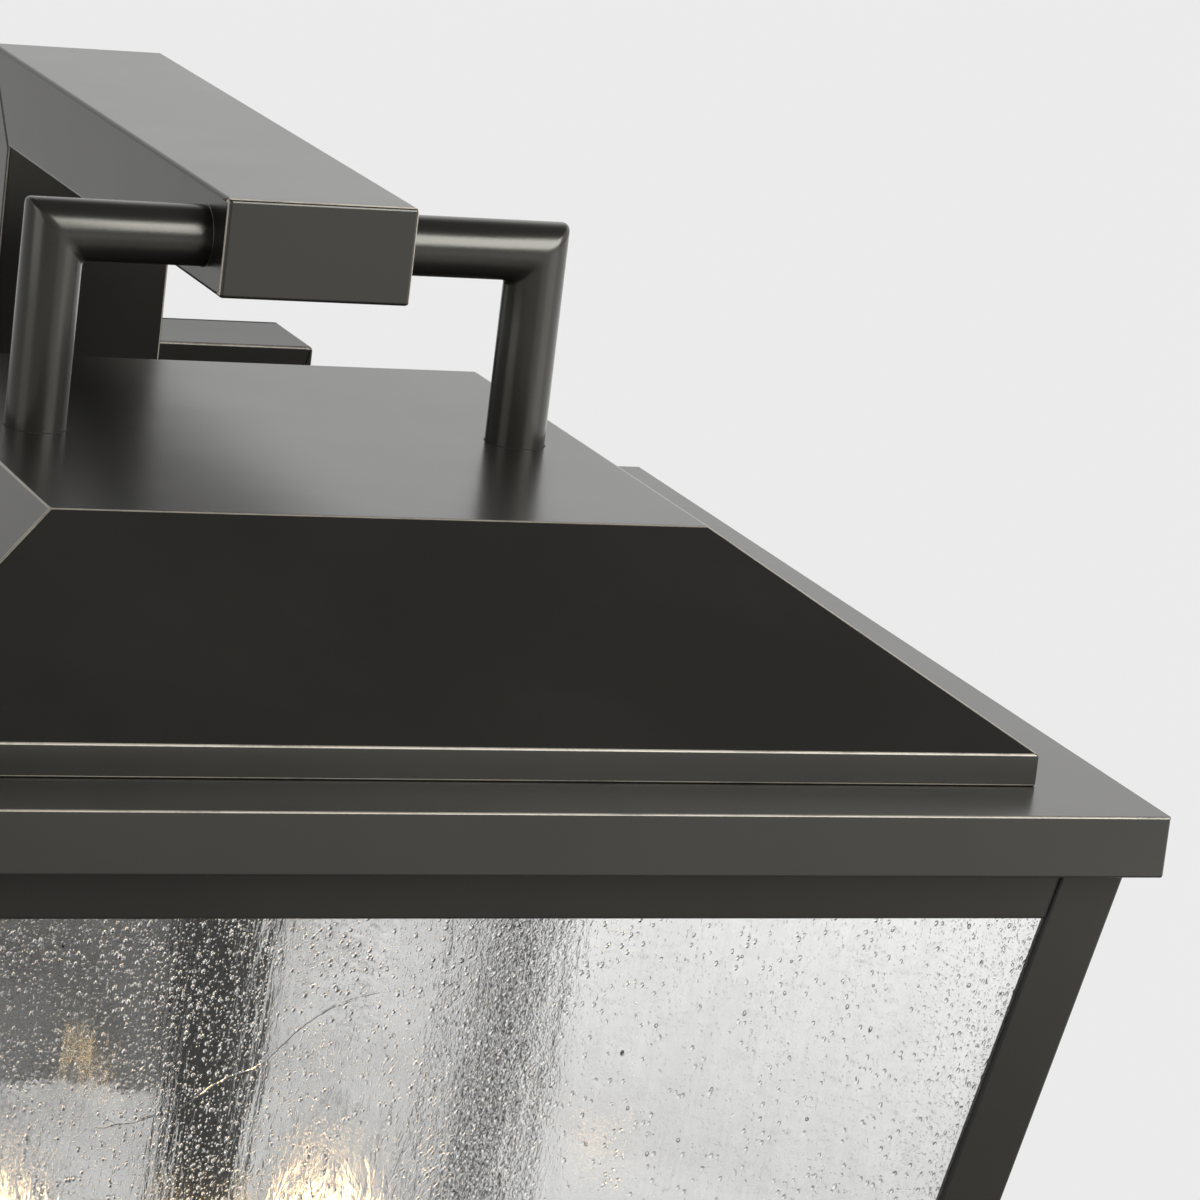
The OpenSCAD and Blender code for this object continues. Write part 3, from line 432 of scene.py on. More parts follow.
def seeded_glass(name, along, seed, tint, clear, layers=(), front=False):
    """Clear seeded glass: drawn streaks and slow waves, and on its outer face layers of small seeds.

    Its dimming share darkens its colour and what is seen through it, painted shade on the back and right
    panes, and clear is the share of it that lets light through.
    """
    sheet = Sheet(name, along, seed)
    # Streaks run down the sheet, in bands that are strong and bands that are nearly clear
    bands = sheet.drawn(26, 4, 2, 0.0)
    bands = sheet.ramp(bands, low=0.42, high=0.70, to_low=0.07, to_high=0.8)
    if front:
        bands = sheet.math("MAXIMUM", bands, sheet.near(-0.050, 0.018, 1.3))
    sheet.wave(BROAD)
    sheet.wave(ROLLING)
    if front:
        # A band of long folds, and one that is torn into short ones
        sheet.wave(LONG_FOLDS, sheet.near(-0.046, 0.018))
        sheet.wave(TORN_FOLDS, sheet.near(0.010, 0.024))
    sheet.wave(STREAKS, bands)
    sheet.wave(FRETTED, bands)
    rough = 0.0
    if front:
        # Rippled spots, where the glass is a little dull, and the hair-like fold
        spots = sheet.math("MAXIMUM", sheet.near(-0.018, 0.024), sheet.near(-0.088, 0.020))
        spots = sheet.times(spots, sheet.ramp(sheet.height, low=0.022, high=0.0))
        sheet.wave(RIPPLES, spots)
        rough = sheet.times(spots, 0.18)
        sheet.wave(FINE_RIPPLES, sheet.near(0.010, 0.026))
        sheet.fold()
    if layers:
        dense = sheet.density(front)
        for layer in layers:
            sheet.seeds(layer, dense)
    fine = sheet.ramp(sheet.drawn(700, 12, 5, 0.3), low=0.35, high=0.70)
    # The dimming share darkens the glass's colour: painted shade
    base = sheet.mix(fine, shade((1.0, 1.0, 0.995), tint), shade((0.965, 0.968, 0.955), tint))
    sheet.principled(Base_Color=base, Roughness=rough, IOR=GLASS_IOR, Transmission_Weight=clear,
                     Normal=sheet.normal)
    return sheet.owner


def clear_glass(name, ior):
    graph = material_graph(name)
    wave = graph.noise(graph.place(), scale=120, detail=2, rough=0.5)
    graph.principled(Base_Color=rgb(0.99, 0.99, 0.98), Roughness=0.0, IOR=ior, Transmission_Weight=1.0,
                     Normal=graph.bump(wave, strength=0.5, distance=0.00005))
    return graph.owner


def glowing(name):
    """The lamp's filament, a little hotter in some places."""
    graph = material_graph(name)
    hot = graph.noise(graph.place(), scale=700, detail=2, rough=0.5)
    colour = graph.mix(hot, rgb(1.0, 0.69, 0.31), rgb(1.0, 0.80, 0.45))
    graph.principled(Base_Color=rgb(0.9, 0.6, 0.3), Roughness=0.5, Emission_Color=colour,
                     Emission_Strength=46.0)
    return graph.owner


BRONZE = bronze("bronze")
BRONZE_WORN = bronze("bronze_worn", rub=0.95)
BRONZE_SOFT = bronze("bronze_soft_worn", rub=0.35)
BRONZE_EAVE = bronze("bronze_eave_worn", rub=0.4)
BRONZE_PLATE = bronze("bronze_plate", rough=0.30, shine=0.26)
# A dark matte material: painted shade for the joints between the cage's parts and for the gap round the legs'
# feet
JOINT_SHADE = moulded("joint_shade", (0.006, 0.0055, 0.005), rough=0.6, depth=0.00003, patch=0.3)
ZINC = plated("zinc", (0.62, 0.62, 0.60))
BRASS = plated("brass", (0.78, 0.60, 0.30))
GREEN = plated("green_screw", (0.05, 0.30, 0.10), rough=0.35)
GASKET = moulded("gasket", (0.022, 0.022, 0.023), rough=0.8, grain=2500, depth=0.00008, patch=0.3)
SOCKET = moulded("socket", (0.78, 0.76, 0.70), rough=0.4)
SLEEVE = moulded("sleeve", (0.80, 0.74, 0.60), rough=0.42, grain=900, depth=0.00003)
LAMP_GLASS = clear_glass("lamp_glass", 1.46)
FILAMENT = glowing("filament")
PLAIN = {"bronze": BRONZE, "zinc": ZINC, "gasket": GASKET, "green": GREEN, "lamp_glass": LAMP_GLASS,
         "lamp_brass": BRASS, "filament": FILAMENT, "socket_plastic": SOCKET, "sleeve": SLEEVE}


# Mesh helpers. Corners nearer than JOIN_DISTANCE become one, and NEARLY is how near counts as on a face.
JOIN_DISTANCE = 0.002
NEARLY = 0.05
FLAT_ANGLE = math.radians(0.3)
CONVEX_ANGLE = math.radians(25)


def link(name, mesh):
    obj = bpy.data.objects.new(name, mesh)
    bpy.context.scene.collection.objects.link(obj)
    return obj


def shade_smooth(mesh, materials, sharp):
    """Smooth faces, apart from edges that turn by more than sharp degrees."""
    for material in materials:
        mesh.materials.append(material)
    mesh.polygons.foreach_set("use_smooth", [True] * len(mesh.polygons))
    mesh.set_sharp_from_angle(angle=math.radians(sharp))


def to_object(bm, name, materials, sharp):
    mesh = bpy.data.meshes.new(name)
    bm.to_mesh(mesh)
    bm.free()
    shade_smooth(mesh, materials, sharp)
    return link(name, mesh)


def settle(obj, body, slot, *replaced):
    """Gives a piece its body, and hides the CAD nodes that it stands in for. slot is not used."""
    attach(obj, body)
    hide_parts(*replaced)


def from_node(node):
    """The node's mesh with its corners joined and its flat faces whole."""
    bm = bmesh.new()
    bm.from_mesh(NODES[node].data)
    bmesh.ops.remove_doubles(bm, verts=bm.verts, dist=JOIN_DISTANCE * MM)
    bmesh.ops.dissolve_limit(bm, angle_limit=FLAT_ANGLE, verts=bm.verts, edges=bm.edges)
    bmesh.ops.recalc_face_normals(bm, faces=bm.faces)
    return bm


def straight_edges(bm, shortest, keep):
    """Convex edges between flat faces, at least shortest mm long, that keep is true for."""
    found = []
    for edge in bm.edges:
        if len(edge.link_faces) != 2 or edge.calc_length() < shortest * MM:
            continue
        if edge.calc_face_angle_signed(0.0) >= CONVEX_ANGLE and (keep is None or keep(edge)):
            found.append(edge)
    return found


def round_edges(bm, edges, width, segments, material=-1, clamp=True):
    """Rounds edges by width mm. clamp keeps the roundings from running into each other."""
    bmesh.ops.bevel(bm, geom=edges, offset=width * MM, offset_type="OFFSET", segments=segments, profile=0.5,
                    affect="EDGES", clamp_overlap=clamp, material=material, loop_slide=True)


def weigh_normals(obj):
    """Shades a rounded edge as round and the large faces beside it as flat."""
    weights = obj.modifiers.new("weights", "WEIGHTED_NORMAL")
    weights.keep_sharp = True
    weights.mode = "FACE_AREA"


def dress(node, width, wear_and_shade_facets=None, main=BRONZE, wear_and_shade_material=BRONZE_WORN, shortest=6.0, segments=4, keep=None,
          clamp=True):
    """A bronze piece in the place of a CAD node, its straight edges rounded by width mm.

    The third argument takes the normal of a rounded edge's facet and is true where it gets the second
    material: wear, or painted shade in the cage's joints.
    """
    bm = from_node(node)
    round_edges(bm, straight_edges(bm, shortest, keep), width, segments, 1, clamp)
    bm.normal_update()
    for face in bm.faces:
        if face.material_index == 1 and not (wear_and_shade_facets and wear_and_shade_facets(face.normal)):
            face.material_index = 0
    low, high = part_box(node)
    for vert in bm.verts:
        vert.co = [min(max(value, least), most) for value, least, most in zip(vert.co, low, high)]
    obj = to_object(bm, node + "_finished", [main, wear_and_shade_material], sharp=32)
    weigh_normals(obj)
    settle(obj, BODY_OF[node], SLOT_OF[node], node)


# Wall plate, post and arm. The plate's front rim and the caps' outer faces are picked by where the boxes end.
PLATE_CORNER = 1.0
PLATE_FRONT = low_of("backplate", Y) + NEARLY
PLATE_SIDE = high_of("backplate", X) - PLATE_CORNER - NEARLY
PLATE_TOP = high_of("backplate", Z) - PLATE_CORNER - NEARLY
CAP_FRONT = low_of("arm_caps", Y) + NEARLY
CAP_LOW = low_of("arm_caps", Z) + NEARLY
CAP_CORNER = 3.0
LONG = 10.0


def plate_edge(edge):
    """An edge of the plate's front rim, its corners too."""
    for vert in edge.verts:
        x, y, z = vert.co / MM
        if y > PLATE_FRONT or (abs(x) < PLATE_SIDE and abs(z) < PLATE_TOP):
            return False
    return True


def plate_rub(normal):
    """Rubbed along the front rim's upper side."""
    return -0.87 < normal.y < -0.35 and normal.z > 0.2


def post_rub(normal):
    """Rubbed along the upright edges."""
    return 0.35 < abs(normal.x) < 0.8


def runs_along(axis):
    """Picks the long edges that run along an axis."""
    return lambda edge: abs(edge.verts[0].co[axis] - edge.verts[1].co[axis]) > LONG * MM


def cap_edge(edge):
    """The outer rim and the short corner edges of the two caps, not the rim that meets the tube."""
    on_front = all(vert.co.y < CAP_FRONT * MM for vert in edge.verts)
    on_low = all(vert.co.z < CAP_LOW * MM for vert in edge.verts)
    return on_front or on_low or edge.calc_length() < CAP_CORNER * MM


def cap_rub(normal):
    """Rubbed along the cap's top and sides, where it meets the tube."""
    return normal.z > 0.80 or ((normal.x < -0.85 or normal.x > 0.60) and normal.z > -0.3)


dress("backplate", 0.8, plate_rub, BRONZE_PLATE, BRONZE_SOFT, shortest=0.05, keep=plate_edge, clamp=False)
dress("wall_post", 0.9, post_rub, wear_and_shade_material=BRONZE_SOFT, keep=runs_along(Z))
dress("support_arm", 1.0, keep=runs_along(Y))
dress("arm_caps", 0.95, cap_rub, shortest=1.5, segments=5, keep=cap_edge)


# Roof, eave and cage. Level edges of the cage nearer than EDGE_MARGIN to the eave or the base stay sharp.
EDGE_MARGIN = 5.0


def roof_rub(normal):
    """Rubbed along the flat top's rim, the hips, and the skirt's upper and lower rims."""
    if min(abs(normal.x), abs(normal.y)) < 0.05:
        return 0.90 < normal.z < 0.985 or 0.40 < normal.z < 0.85 or -0.45 < normal.z < -0.1
    return normal.z > 0.90


def eave_rub(normal):
    """Rubbed along the eave's upper rim."""
    return 0.50 < normal.z < 0.92


def base_rub(normal):
    """Rubbed a little along the upper rims."""
    return 0.62 < normal.z < 0.92


def from_axis(vert):
    """How far a corner is from the lantern's axis, square, and its height over the eave, in millimetres."""
    x, y, z = vert.co / MM
    return max(abs(x), abs(y + AXIS_OUT)), z - EAVE_UP


def roof_edge(edge):
    """An edge of the roof's outer faces."""
    for out, z in map(from_axis, edge.verts):
        if z < ROOF_H - NEARLY and out < SKIRT_HALF - NEARLY:
            return False
    return True


def cage_edge(edge):
    """An edge of the cage's outer faces, apart from those that lie under the eave or in the base."""
    heights = []
    for out, z in map(from_axis, edge.verts):
        heights.append(z)
        if abs(out - half_at(z)) > NEARLY:
            return False
    upright = max(heights) - min(heights) > EDGE_MARGIN
    in_sight = max(heights) < -EAVE_H - EDGE_MARGIN and min(heights) > CAGE_LOW + EDGE_MARGIN
    return upright or in_sight


def joint(*sides):
    """Picks the facets that turn to a neighbour, which get painted shade for the joint. sides are axes with
    signs.
    """
    return lambda normal: any(normal[axis] * sign > 0.2 for axis, sign in sides)


def dress_cage():
    # The facets that turn to a neighbouring part get the dark matte material, painted shade in the joints
    for name, side_x, side_y in (("front_left", -1, -1), ("front_right", 1, -1),
                                 ("back_left", -1, 1), ("back_right", 1, 1)):
        inward = joint((X, -side_x), (Y, -side_y))
        dress("corner_post_" + name, 0.8, inward, wear_and_shade_material=JOINT_SHADE, keep=cage_edge)
    for name, axis in (("front", X), ("back", X), ("left", Y), ("right", Y)):
        for rail in ("top_rail_", "bottom_rail_"):
            dress(rail + name, 0.8, joint((axis, 1), (axis, -1)), wear_and_shade_material=JOINT_SHADE, keep=cage_edge)


dress("roof_cap", 0.45, roof_rub, wear_and_shade_material=BRONZE_EAVE, segments=3, keep=roof_edge)
dress("eave_plate", 0.9, eave_rub, wear_and_shade_material=BRONZE_EAVE)
dress_cage()
dress("base_frame", 0.6, base_rub, wear_and_shade_material=BRONZE_SOFT)
dress("door_panel", 0.6)


# Yoke: the steps round its tube, the heights of the legs' rings, the places of the bar's, and the weld beads
YOKE_STEPS = 72
LEG_RINGS = (ROOF_H, ROOF_H + 4, 60, 68)
BAR_RINGS = (-42, -ARM_HALF - 3, ARM_HALF + 3, 42)
MITRE_ROUND = 1.1
BEAD_STEPS, BEAD_ROWS = 120, 6
LEG_BEAD, ARM_BEAD = 0.4, 0.5
BEAD_SINK, BEAD_ROOT = 0.15, 0.3
BEAD_LUMPS = 0.2


def circle(steps, radius):
    """Points round a circle, each as sine and cosine."""
    turns = [2 * math.pi * i / steps for i in range(steps)]
    return [(math.sin(turn) * radius, math.cos(turn) * radius) for turn in turns]


def make_yoke():
    """The bar and its two legs, mitred and welded, with the seams ground round."""
    bm = bmesh.new()
    tube = circle(YOKE_STEPS, TUBE_R)

    def leg_ring(side, z):
        return [bm.verts.new(lantern(side * (LEG_X + out), y, z)) for out, y in tube]

    def mitre_ring(side):
        return [bm.verts.new(lantern(side * (LEG_X + out), y, BAR_UP + out)) for out, y in tube]

    def bar_ring(x):
        return [bm.verts.new(lantern(x, y, BAR_UP + out)) for out, y in tube]

    rings = [leg_ring(-1, z) for z in LEG_RINGS]
    left = mitre_ring(-1)
    rings += [left] + [bar_ring(x) for x in BAR_RINGS]
    right = mitre_ring(1)
    rings += [right] + [leg_ring(1, z) for z in reversed(LEG_RINGS)]
    for here, there in zip(rings, rings[1:]):
        for i in range(YOKE_STEPS):
            j = (i + 1) % YOKE_STEPS
            bm.faces.new((here[i], here[j], there[j], there[i]))
    bm.faces.new(rings[0])
    bm.faces.new(rings[-1][::-1])
    bmesh.ops.recalc_face_normals(bm, faces=bm.faces)
    seams = [edge for ring in (left, right) for edge in bm.edges if all(vert in ring for vert in edge.verts)]
    round_edges(bm, seams, MITRE_ROUND, 4)
    settle(to_object(bm, "yoke", [BRONZE], sharp=60), "lantern", "bronze",
           "yoke_bar", "yoke_leg_left", "yoke_leg_right")


def add_bead(bm, centre, axis, pattern, size, material):
    """A lumpy bead round the tube, where it meets a flat face that axis stands on."""
    side = axis.orthogonal().normalized()
    other = axis.cross(side)
    rings = []
    for sine, cosine in circle(BEAD_STEPS, 1):
        out = side * cosine + other * sine
        lump = noise.noise(Vector((cosine * 2, sine * 2, centre.x * 90 + pattern)))
        reach = size * (1 + BEAD_LUMPS * lump)
        loop = []
        for row in range(BEAD_ROWS + 1):
            turn = row / BEAD_ROWS * math.pi / 2
            away = TUBE_R - BEAD_SINK + reach * (1 - math.sin(turn))
            up = reach * (1 - math.cos(turn))
            loop.append(bm.verts.new(centre + (out * away + axis * up) * MM))
        loop.append(bm.verts.new(centre + out * (TUBE_R - BEAD_ROOT) * MM))
        rings.append(loop)
    for here, there in zip(rings, rings[1:] + rings[:1]):
        for k in range(len(here)):
            m = (k + 1) % len(here)
            bm.faces.new((here[k], here[m], there[m], there[k])).material_index = material


def make_welds():
    """Ground beads where the bar enters the arm, and dark matte rings where the legs stand on the roof,
    painted shade for the gap there.
    """
    bm = bmesh.new()
    # The rings at the legs' feet take the dark matte material: painted shade for the gap
    for x in (-LEG_X, LEG_X):
        add_bead(bm, lantern(x, 0, ROOF_H), Vector((0, 0, 1)), pattern=1, size=LEG_BEAD, material=1)
    for side in (-1, 1):
        centre = lantern(side * ARM_HALF, 0, BAR_UP)
        add_bead(bm, centre, Vector((side, 0, 0)), pattern=2, size=ARM_BEAD, material=0)
    bmesh.ops.recalc_face_normals(bm, faces=bm.faces)
    settle(to_object(bm, "weld_beads", [BRONZE, JOINT_SHADE], sharp=70), "lantern", "bronze", "yoke_welds")


make_yoke()
make_welds()


# Panes: how far each is turned from the front, in degrees, the grid of a face, the margin at its sides, how
# deep its outer and its inner face lie, and how wide the pattern of its waves is
SIDES = {"front": 0, "right": 90, "back": 180, "left": 270}
COLUMNS, ROWS = 90, 104
PANE_MARGIN = (FRAME_T + GLASS_T) * LEAN_STRETCH + 1.0
OUTER, INNER = FRAME_T + 0.27, FRAME_T + GLASS_T - 0.22
WAVE_SPAN = 140

# Air seeds: how far they reach across, up and down and into the sheet, the radius of the smallest and what
# the largest has more, the radius from which one has more faces, how far it is drawn out, and how flat it is
SEED_SPAN = 0.97
SEED_LOWEST, SEED_HIGHEST = PANE_LOW + 4, PANE_HIGH - 3
SEED_DEPTH = 0.9
SEED_LEAST, SEED_MORE = 0.13, 0.34
SEED_FINE = 0.2
SEED_STRETCH = 0.7
SEED_FLAT = 0.55

# A swell of the sheet: its depth, how fine it is across and down, per millimetre, and how far its pattern
# moves from pane to pane and from a pane's outer face to its inner one
Swell = namedtuple("Swell", "depth across down by_pane by_face")
SWELLS = (Swell(0.08, 0.045, 0.028, 3.1, 5.7), Swell(0.03, 0.11, 0.05, 7.7, 3.3))


def ball(level):
    """The corners and faces of a small round form."""
    bm = bmesh.new()
    bmesh.ops.create_icosphere(bm, subdivisions=level, radius=1)
    made = [vert.co.copy() for vert in bm.verts], [[vert.index for vert in face.verts] for face in bm.faces]
    bm.free()
    return made


SMALL_BALL, LARGE_BALL = ball(1), ball(2)


class PaneMesh:
    """The points and faces of one pane, each face with the number of its material.

    A pane is made as the front one and turned to its side.
    """

    def __init__(self, side, seed):
        self.turn = Matrix.Rotation(math.radians(SIDES[side]), 3, "Z")
        self.seed = seed
        self.points, self.faces, self.kinds = [], [], []

    def at(self, across, z, inset):
        """A point: across from -1 to 1, z in the lantern's frame, inset from the cage's outer face."""
        x = across * (half_at(z) - PANE_MARGIN)
        return lantern(*(self.turn @ Vector((x, -half_at(z, inset), z))))

    def wave(self, across, z, face):
        """How far a face of the sheet waves in or out. It dies away to the edges, which sit in the frame."""
        x = across * WAVE_SPAN
        lift = 0.0
        for swell in SWELLS:
            pattern = self.seed * swell.by_pane + face * swell.by_face
            lift += swell.depth * noise.noise(Vector((x * swell.across, z * swell.down, pattern)))
        edge = min(1.0, (1 - abs(across)) * 8, (z - PANE_LOW) / 20, (PANE_HIGH - z) / 8)
        return lift * max(0.0, edge)

    def add(self, kind, *corners):
        self.faces.append(corners)
        self.kinds.append(kind)

    def spot(self, face, row, column):
        """The number of a point of the grid. face is 0 outside and 1 inside."""
        return (face * (ROWS + 1) + row) * (COLUMNS + 1) + column

    def sheet(self):
        """The two wavy faces and the four edges between them."""
        for face, inset in enumerate((OUTER, INNER)):
            for row in range(ROWS + 1):
                z = PANE_LOW + (PANE_HIGH - PANE_LOW) * row / ROWS
                for column in range(COLUMNS + 1):
                    across = -1 + 2 * column / COLUMNS
                    self.points.append(self.at(across, z, inset + self.wave(across, z, face)))
        spot = self.spot
        for r in range(ROWS):
            for c in range(COLUMNS):
                self.add(0, spot(0, r, c), spot(0, r, c + 1), spot(0, r + 1, c + 1), spot(0, r + 1, c))
                self.add(1, spot(1, r, c), spot(1, r + 1, c), spot(1, r + 1, c + 1), spot(1, r, c + 1))
            self.add(1, spot(0, r, 0), spot(0, r + 1, 0), spot(1, r + 1, 0), spot(1, r, 0))
            c = COLUMNS
            self.add(1, spot(0, r, c), spot(1, r, c), spot(1, r + 1, c), spot(0, r + 1, c))
        for c in range(COLUMNS):
            self.add(1, spot(0, 0, c), spot(1, 0, c), spot(1, 0, c + 1), spot(0, 0, c + 1))
            r = ROWS
            self.add(1, spot(0, r, c), spot(0, r, c + 1), spot(1, r, c + 1), spot(1, r, c))

    def air_seed(self, draws):
        """A drawn-out drop of air in the middle of the sheet, with its faces turned inward."""
        across = draws.uniform(-SEED_SPAN, SEED_SPAN)
        z = draws.uniform(SEED_LOWEST, SEED_HIGHEST)
        size = SEED_LEAST + SEED_MORE * draws.random() ** 4
        stretch = draws.uniform(0.0, SEED_STRETCH)
        depth = draws.uniform(FRAME_T + SEED_DEPTH, FRAME_T + GLASS_T - SEED_DEPTH)
        centre = self.at(across, z, depth)
        down = (self.at(across, z - 1, depth) - centre).normalized()
        out = (self.at(across, z, depth - 1) - centre).normalized()
        corners, sides = LARGE_BALL if size > SEED_FINE else SMALL_BALL
        first = len(self.points)
        for corner in corners:
            corner = corner + down * corner.dot(down) * stretch - out * corner.dot(out) * SEED_FLAT
            self.points.append(centre + corner * size * MM)
        for side in sides:
            self.add(2, *(first + i for i in reversed(side)))


def make_pane(side, materials, seed, seeds):
    """One pane. materials are those of its outer face, of its inner face with the edges, and of its seeds."""
    pane = PaneMesh(side, seed)
    pane.sheet()
    draws = random.Random(seed)
    for _ in range(seeds):
        pane.air_seed(draws)
    mesh = bpy.data.meshes.new("pane_" + side)
    mesh.from_pydata(pane.points, [], pane.faces)
    mesh.polygons.foreach_set("material_index", pane.kinds)
    shade_smooth(mesh, materials, 60)
    settle(link("pane_" + side, mesh), "lantern", "seeded_glass", "glass_" + side)


# A pane's side, its level axis, its layers of seeds, the dimming of its colour that paints shade on it, its
# clearness, and its number of air seeds
Pane = namedtuple("Pane", "side along layers tint clear seeds")
# The back pane's colour is dimmed most and the right pane's a little: painted shade
PANES = (Pane("front", X, SEEDS, 1.0, 1.0, 1500), Pane("right", Y, SEEDS_FEW, 0.965, 0.97, 700),
         Pane("back", X, SEEDS_DENSE, 0.92, 0.87, 900), Pane("left", Y, SEEDS_FEW, 1.0, 1.0, 700))


def make_panes():
    seed_glass = clear_glass("seed_glass", GLASS_IOR)
    for number, pane in enumerate(PANES):
        glass = (pane.tint, pane.clear)
        outside = seeded_glass("glass_outside_" + pane.side, pane.along, 11.0 * number + 3.0, *glass,
                               pane.layers, pane.side == "front")
        inside = seeded_glass("glass_inside_" + pane.side, pane.along, 11.0 * number + 8.0, *glass)
        make_pane(pane.side, [outside, inside, seed_glass], number + 1, pane.seeds)


make_panes()


# Lamps: the wires' radii, and the zigzag filament's half width, steps, steps in a turn, height and arch
FILAMENT_R = 0.6
LEAD_R = 0.25
STEM_R = 1.9
FILAMENT_HALF = 4.2
FILAMENT_STEPS, FILAMENT_TURN = 64, 8
FILAMENT_LOW, FILAMENT_H, FILAMENT_ARCH = 33, 18.5, 0.32


def add_wire(bm, points, radius, material, sides=8):
    """A round wire along some points, closed at both ends."""
    loops = []
    for i, point in enumerate(points):
        along = (points[min(len(points) - 1, i + 1)] - points[max(0, i - 1)]).normalized()
        side = along.orthogonal().normalized()
        other = along.cross(side)
        loops.append([bm.verts.new(point + (side * cosine + other * sine) * MM)
                      for sine, cosine in circle(sides, radius)])
    made = []
    for here, there in zip(loops, loops[1:]):
        for k in range(sides):
            m = (k + 1) % sides
            made.append(bm.faces.new((here[k], here[m], there[m], there[k])))
    made += [bm.faces.new(loops[0][::-1]), bm.faces.new(loops[-1])]
    for face in made:
        face.material_index = material


def add_filament(bm, at):
    """A zigzag filament that is highest in its middle, between two leads on the stem of the glass.

    at turns a place across the lamp and a height in it into a point.
    """
    for x in (-FILAMENT_HALF, FILAMENT_HALF):
        add_wire(bm, [at(x * 0.3, 18), at(x * 0.5, 22), at(x, 30), at(x, 45)], LEAD_R, 1)
    add_wire(bm, [at(0, 2), at(0, 12), at(0, 20), at(0, 22)], STEM_R, 2, 16)
    zigzag = []
    for k in range(FILAMENT_STEPS + 1):
        x = FILAMENT_HALF * (2 * k / FILAMENT_STEPS - 1)
        swing = abs(k / FILAMENT_TURN % 2 - 1)
        zigzag.append(at(x, FILAMENT_LOW + (FILAMENT_H - FILAMENT_ARCH * x * x) * swing))
    add_wire(bm, zigzag, FILAMENT_R, 0)


def make_filaments():
    bm = bmesh.new()
    for lamp in range(LAMPS):
        turn = Matrix.Rotation(math.radians(360 / LAMPS * lamp), 3, "Z")
        add_filament(bm, lambda x, z, turn=turn: lantern(*(turn @ Vector((x, -LAMP_OUT, BULB_LOW + z)))))
    bmesh.ops.recalc_face_normals(bm, faces=bm.faces)
    obj = to_object(bm, "filaments", [FILAMENT, ZINC, LAMP_GLASS], sharp=60)
    settle(obj, "lantern", "filament", "lamp_filaments")


make_filaments()


# The CAD nodes that keep their own mesh
def paint_nodes():
    for node, obj in NODES.items():
        if not obj.hide_render:
            obj.data.materials.clear()
            obj.data.materials.append(PLAIN[SLOT_OF[node]])


paint_nodes()


# Floor, room and lights. PALE is the one tone that the camera sees behind the lantern.
PALE = 0.831
FLOOR_NEAR = 0.35
FLOOR_MIDDLE = 0.70
FLOOR_RIGHT = 1.55
FLOOR_REACH = 60
FLOOR_LOW = -1.1
BACK_WALL = 1.25
CEILING = 0.12
ROOM_FRONT = 0.7
ROOM_LEFT, ROOM_RIGHT = 0.75, 1.3
# The room's tones by how far up they are, from 0 at the horizon to 1 overhead
HORIZON = ((0.08, 0.85 * BACK_WALL), (0.17, 0.88 * BACK_WALL), (0.27, BACK_WALL), (0.50, BACK_WALL),
           (0.80, CEILING))
LIGHTS_AIM = Vector((0, -0.2, 0.05))


def floor_tone(graph):
    """What the floor gives to reflections: a painted shadow that makes it darker under the lantern, and
    painted light that makes it lighter to the right of it.
    """
    place = graph.add("SeparateXYZ", {"Vector": graph.place()})
    right, back = place.outputs[X], place.outputs[Y]
    tone = graph.ramp(graph.vector("LENGTH", graph.place()), 1.6, 4.5, FLOOR_NEAR, PALE)
    tone = graph.times(tone, graph.ramp(right, -2.5, 0.2, 1.0, FLOOR_MIDDLE))
    tone = graph.times(tone, graph.ramp(right, 0.2, 1.6, 1.0, FLOOR_RIGHT / FLOOR_MIDDLE))
    behind = graph.times(graph.ramp(back, 0.2, 1.2, 0.0, PALE), graph.ramp(right, 0.3, 3.0, 1.0, 1.22))
    tone = graph.math("MAXIMUM", tone, behind)
    return graph.times(tone, graph.ramp(right, -4.0, -0.5, 0.78, 1.0))


def make_floor():
    """A plain pale floor. Seen directly it has one tone, and in reflections another.

    From below it is clear, so that the lantern's underside can be looked at.
    """
    corners = [(x * FLOOR_REACH, y * FLOOR_REACH, FLOOR_LOW) for x, y in ((-1, -1), (1, -1), (1, 1), (-1, 1))]
    mesh = bpy.data.meshes.new("floor")
    mesh.from_pydata(corners, [], [(0, 1, 2, 3)])
    graph = material_graph("floor")
    seen = graph.add("LightPath").outputs["Is Camera Ray"]
    strength = graph.mix_value(seen, floor_tone(graph), PALE)
    glow = graph.add("Emission", {"Color": grey(1.0), "Strength": strength}).outputs[0]
    under = graph.add("NewGeometry").outputs["Backfacing"]
    clear = graph.add("BsdfTransparent").outputs[0]
    graph.surface(graph.add("MixShader", {0: under, 1: glow, 2: clear}))
    mesh.materials.append(graph.owner)
    link("floor", mesh)


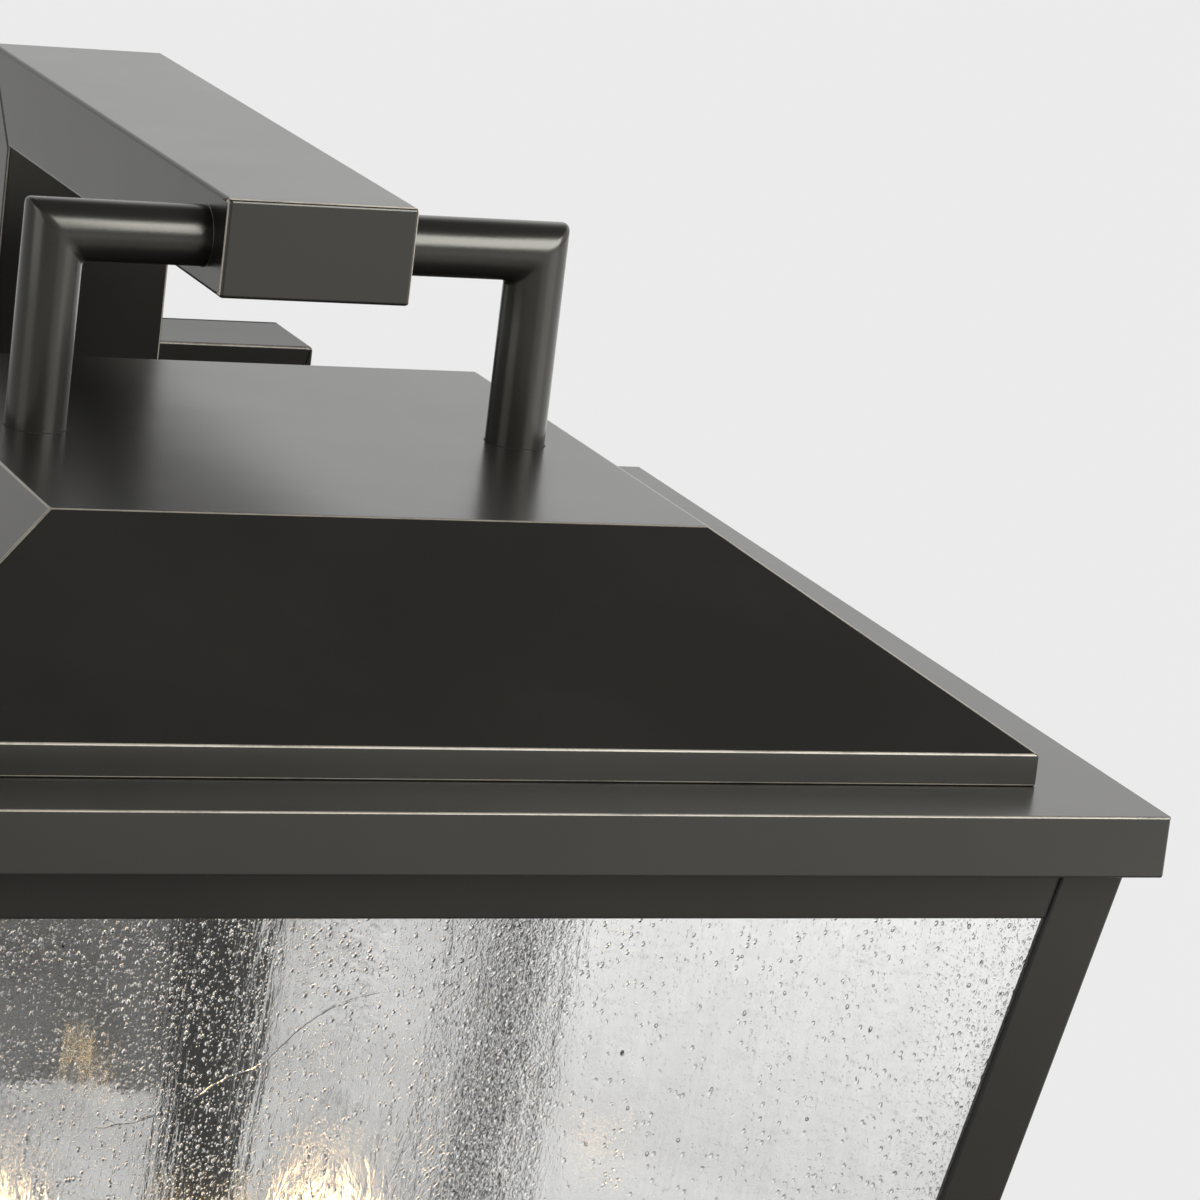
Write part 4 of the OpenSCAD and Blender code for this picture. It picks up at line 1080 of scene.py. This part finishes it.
def make_world():
    """A pale room, lighter towards the horizon and the right, and dim overhead and behind the camera."""
    world = bpy.data.worlds.new("studio")
    bpy.context.scene.world = world
    graph = Graph(world, "OutputWorld")
    where = graph.add("TexCoord").outputs["Generated"]
    right, back, up = graph.add("SeparateXYZ", {"Vector": where}).outputs
    height = graph.add("ValToRGB", {0: up})
    stops = height.color_ramp.elements
    stops[0].position, stops[0].color = 0.0, grey(PALE)
    stops[1].position, stops[1].color = 1.0, grey(CEILING)
    for place, value in HORIZON:
        stops.new(place).color = grey(value)
    tone = graph.times(height.outputs[0], graph.ramp(back, -0.7, 0.3, ROOM_FRONT, 1.0))
    tone = graph.times(tone, graph.ramp(right, -0.5, 0.6, ROOM_LEFT, ROOM_RIGHT))
    # The camera sees the floor's tone. The background's own grey is divided out of it.
    sky = graph.add("Background")
    seen = graph.add("LightPath").outputs["Is Camera Ray"]
    plain = PALE / sky.inputs["Color"].default_value[0]
    graph.put(sky.inputs["Strength"], graph.mix_value(seen, tone, plain))
    graph.surface(sky)


def area(name, azimuth, elevation, distance, width, height, radiance):
    """A soft box that looks at the lantern. The azimuth is counted from the front to the right.

    It lights the lantern and shows in its gloss, but isn't seen through the glass.
    """
    light = bpy.data.lights.new(name, "AREA")
    light.shape = "RECTANGLE"
    light.size = width
    light.size_y = height
    light.energy = radiance * math.pi * width * height
    obj = link(name, light)
    turn, tilt = math.radians(azimuth), math.radians(elevation)
    away = Vector((math.sin(turn) * math.cos(tilt), -math.cos(turn) * math.cos(tilt), math.sin(tilt)))
    obj.visible_transmission = False
    obj.location = LIGHTS_AIM + away * distance
    obj.rotation_mode = "QUATERNION"
    obj.rotation_quaternion = (-away).to_track_quat("-Z", "Y")


make_floor()
make_world()
area("key", azimuth=35, elevation=33, distance=1.9, width=1.2, height=1.05, radiance=12.5)
area("low", azimuth=50, elevation=-10, distance=2.2, width=1.3, height=1.3, radiance=1.0)
area("side", azimuth=-72, elevation=12, distance=2.0, width=1.2, height=1.4, radiance=2.0)
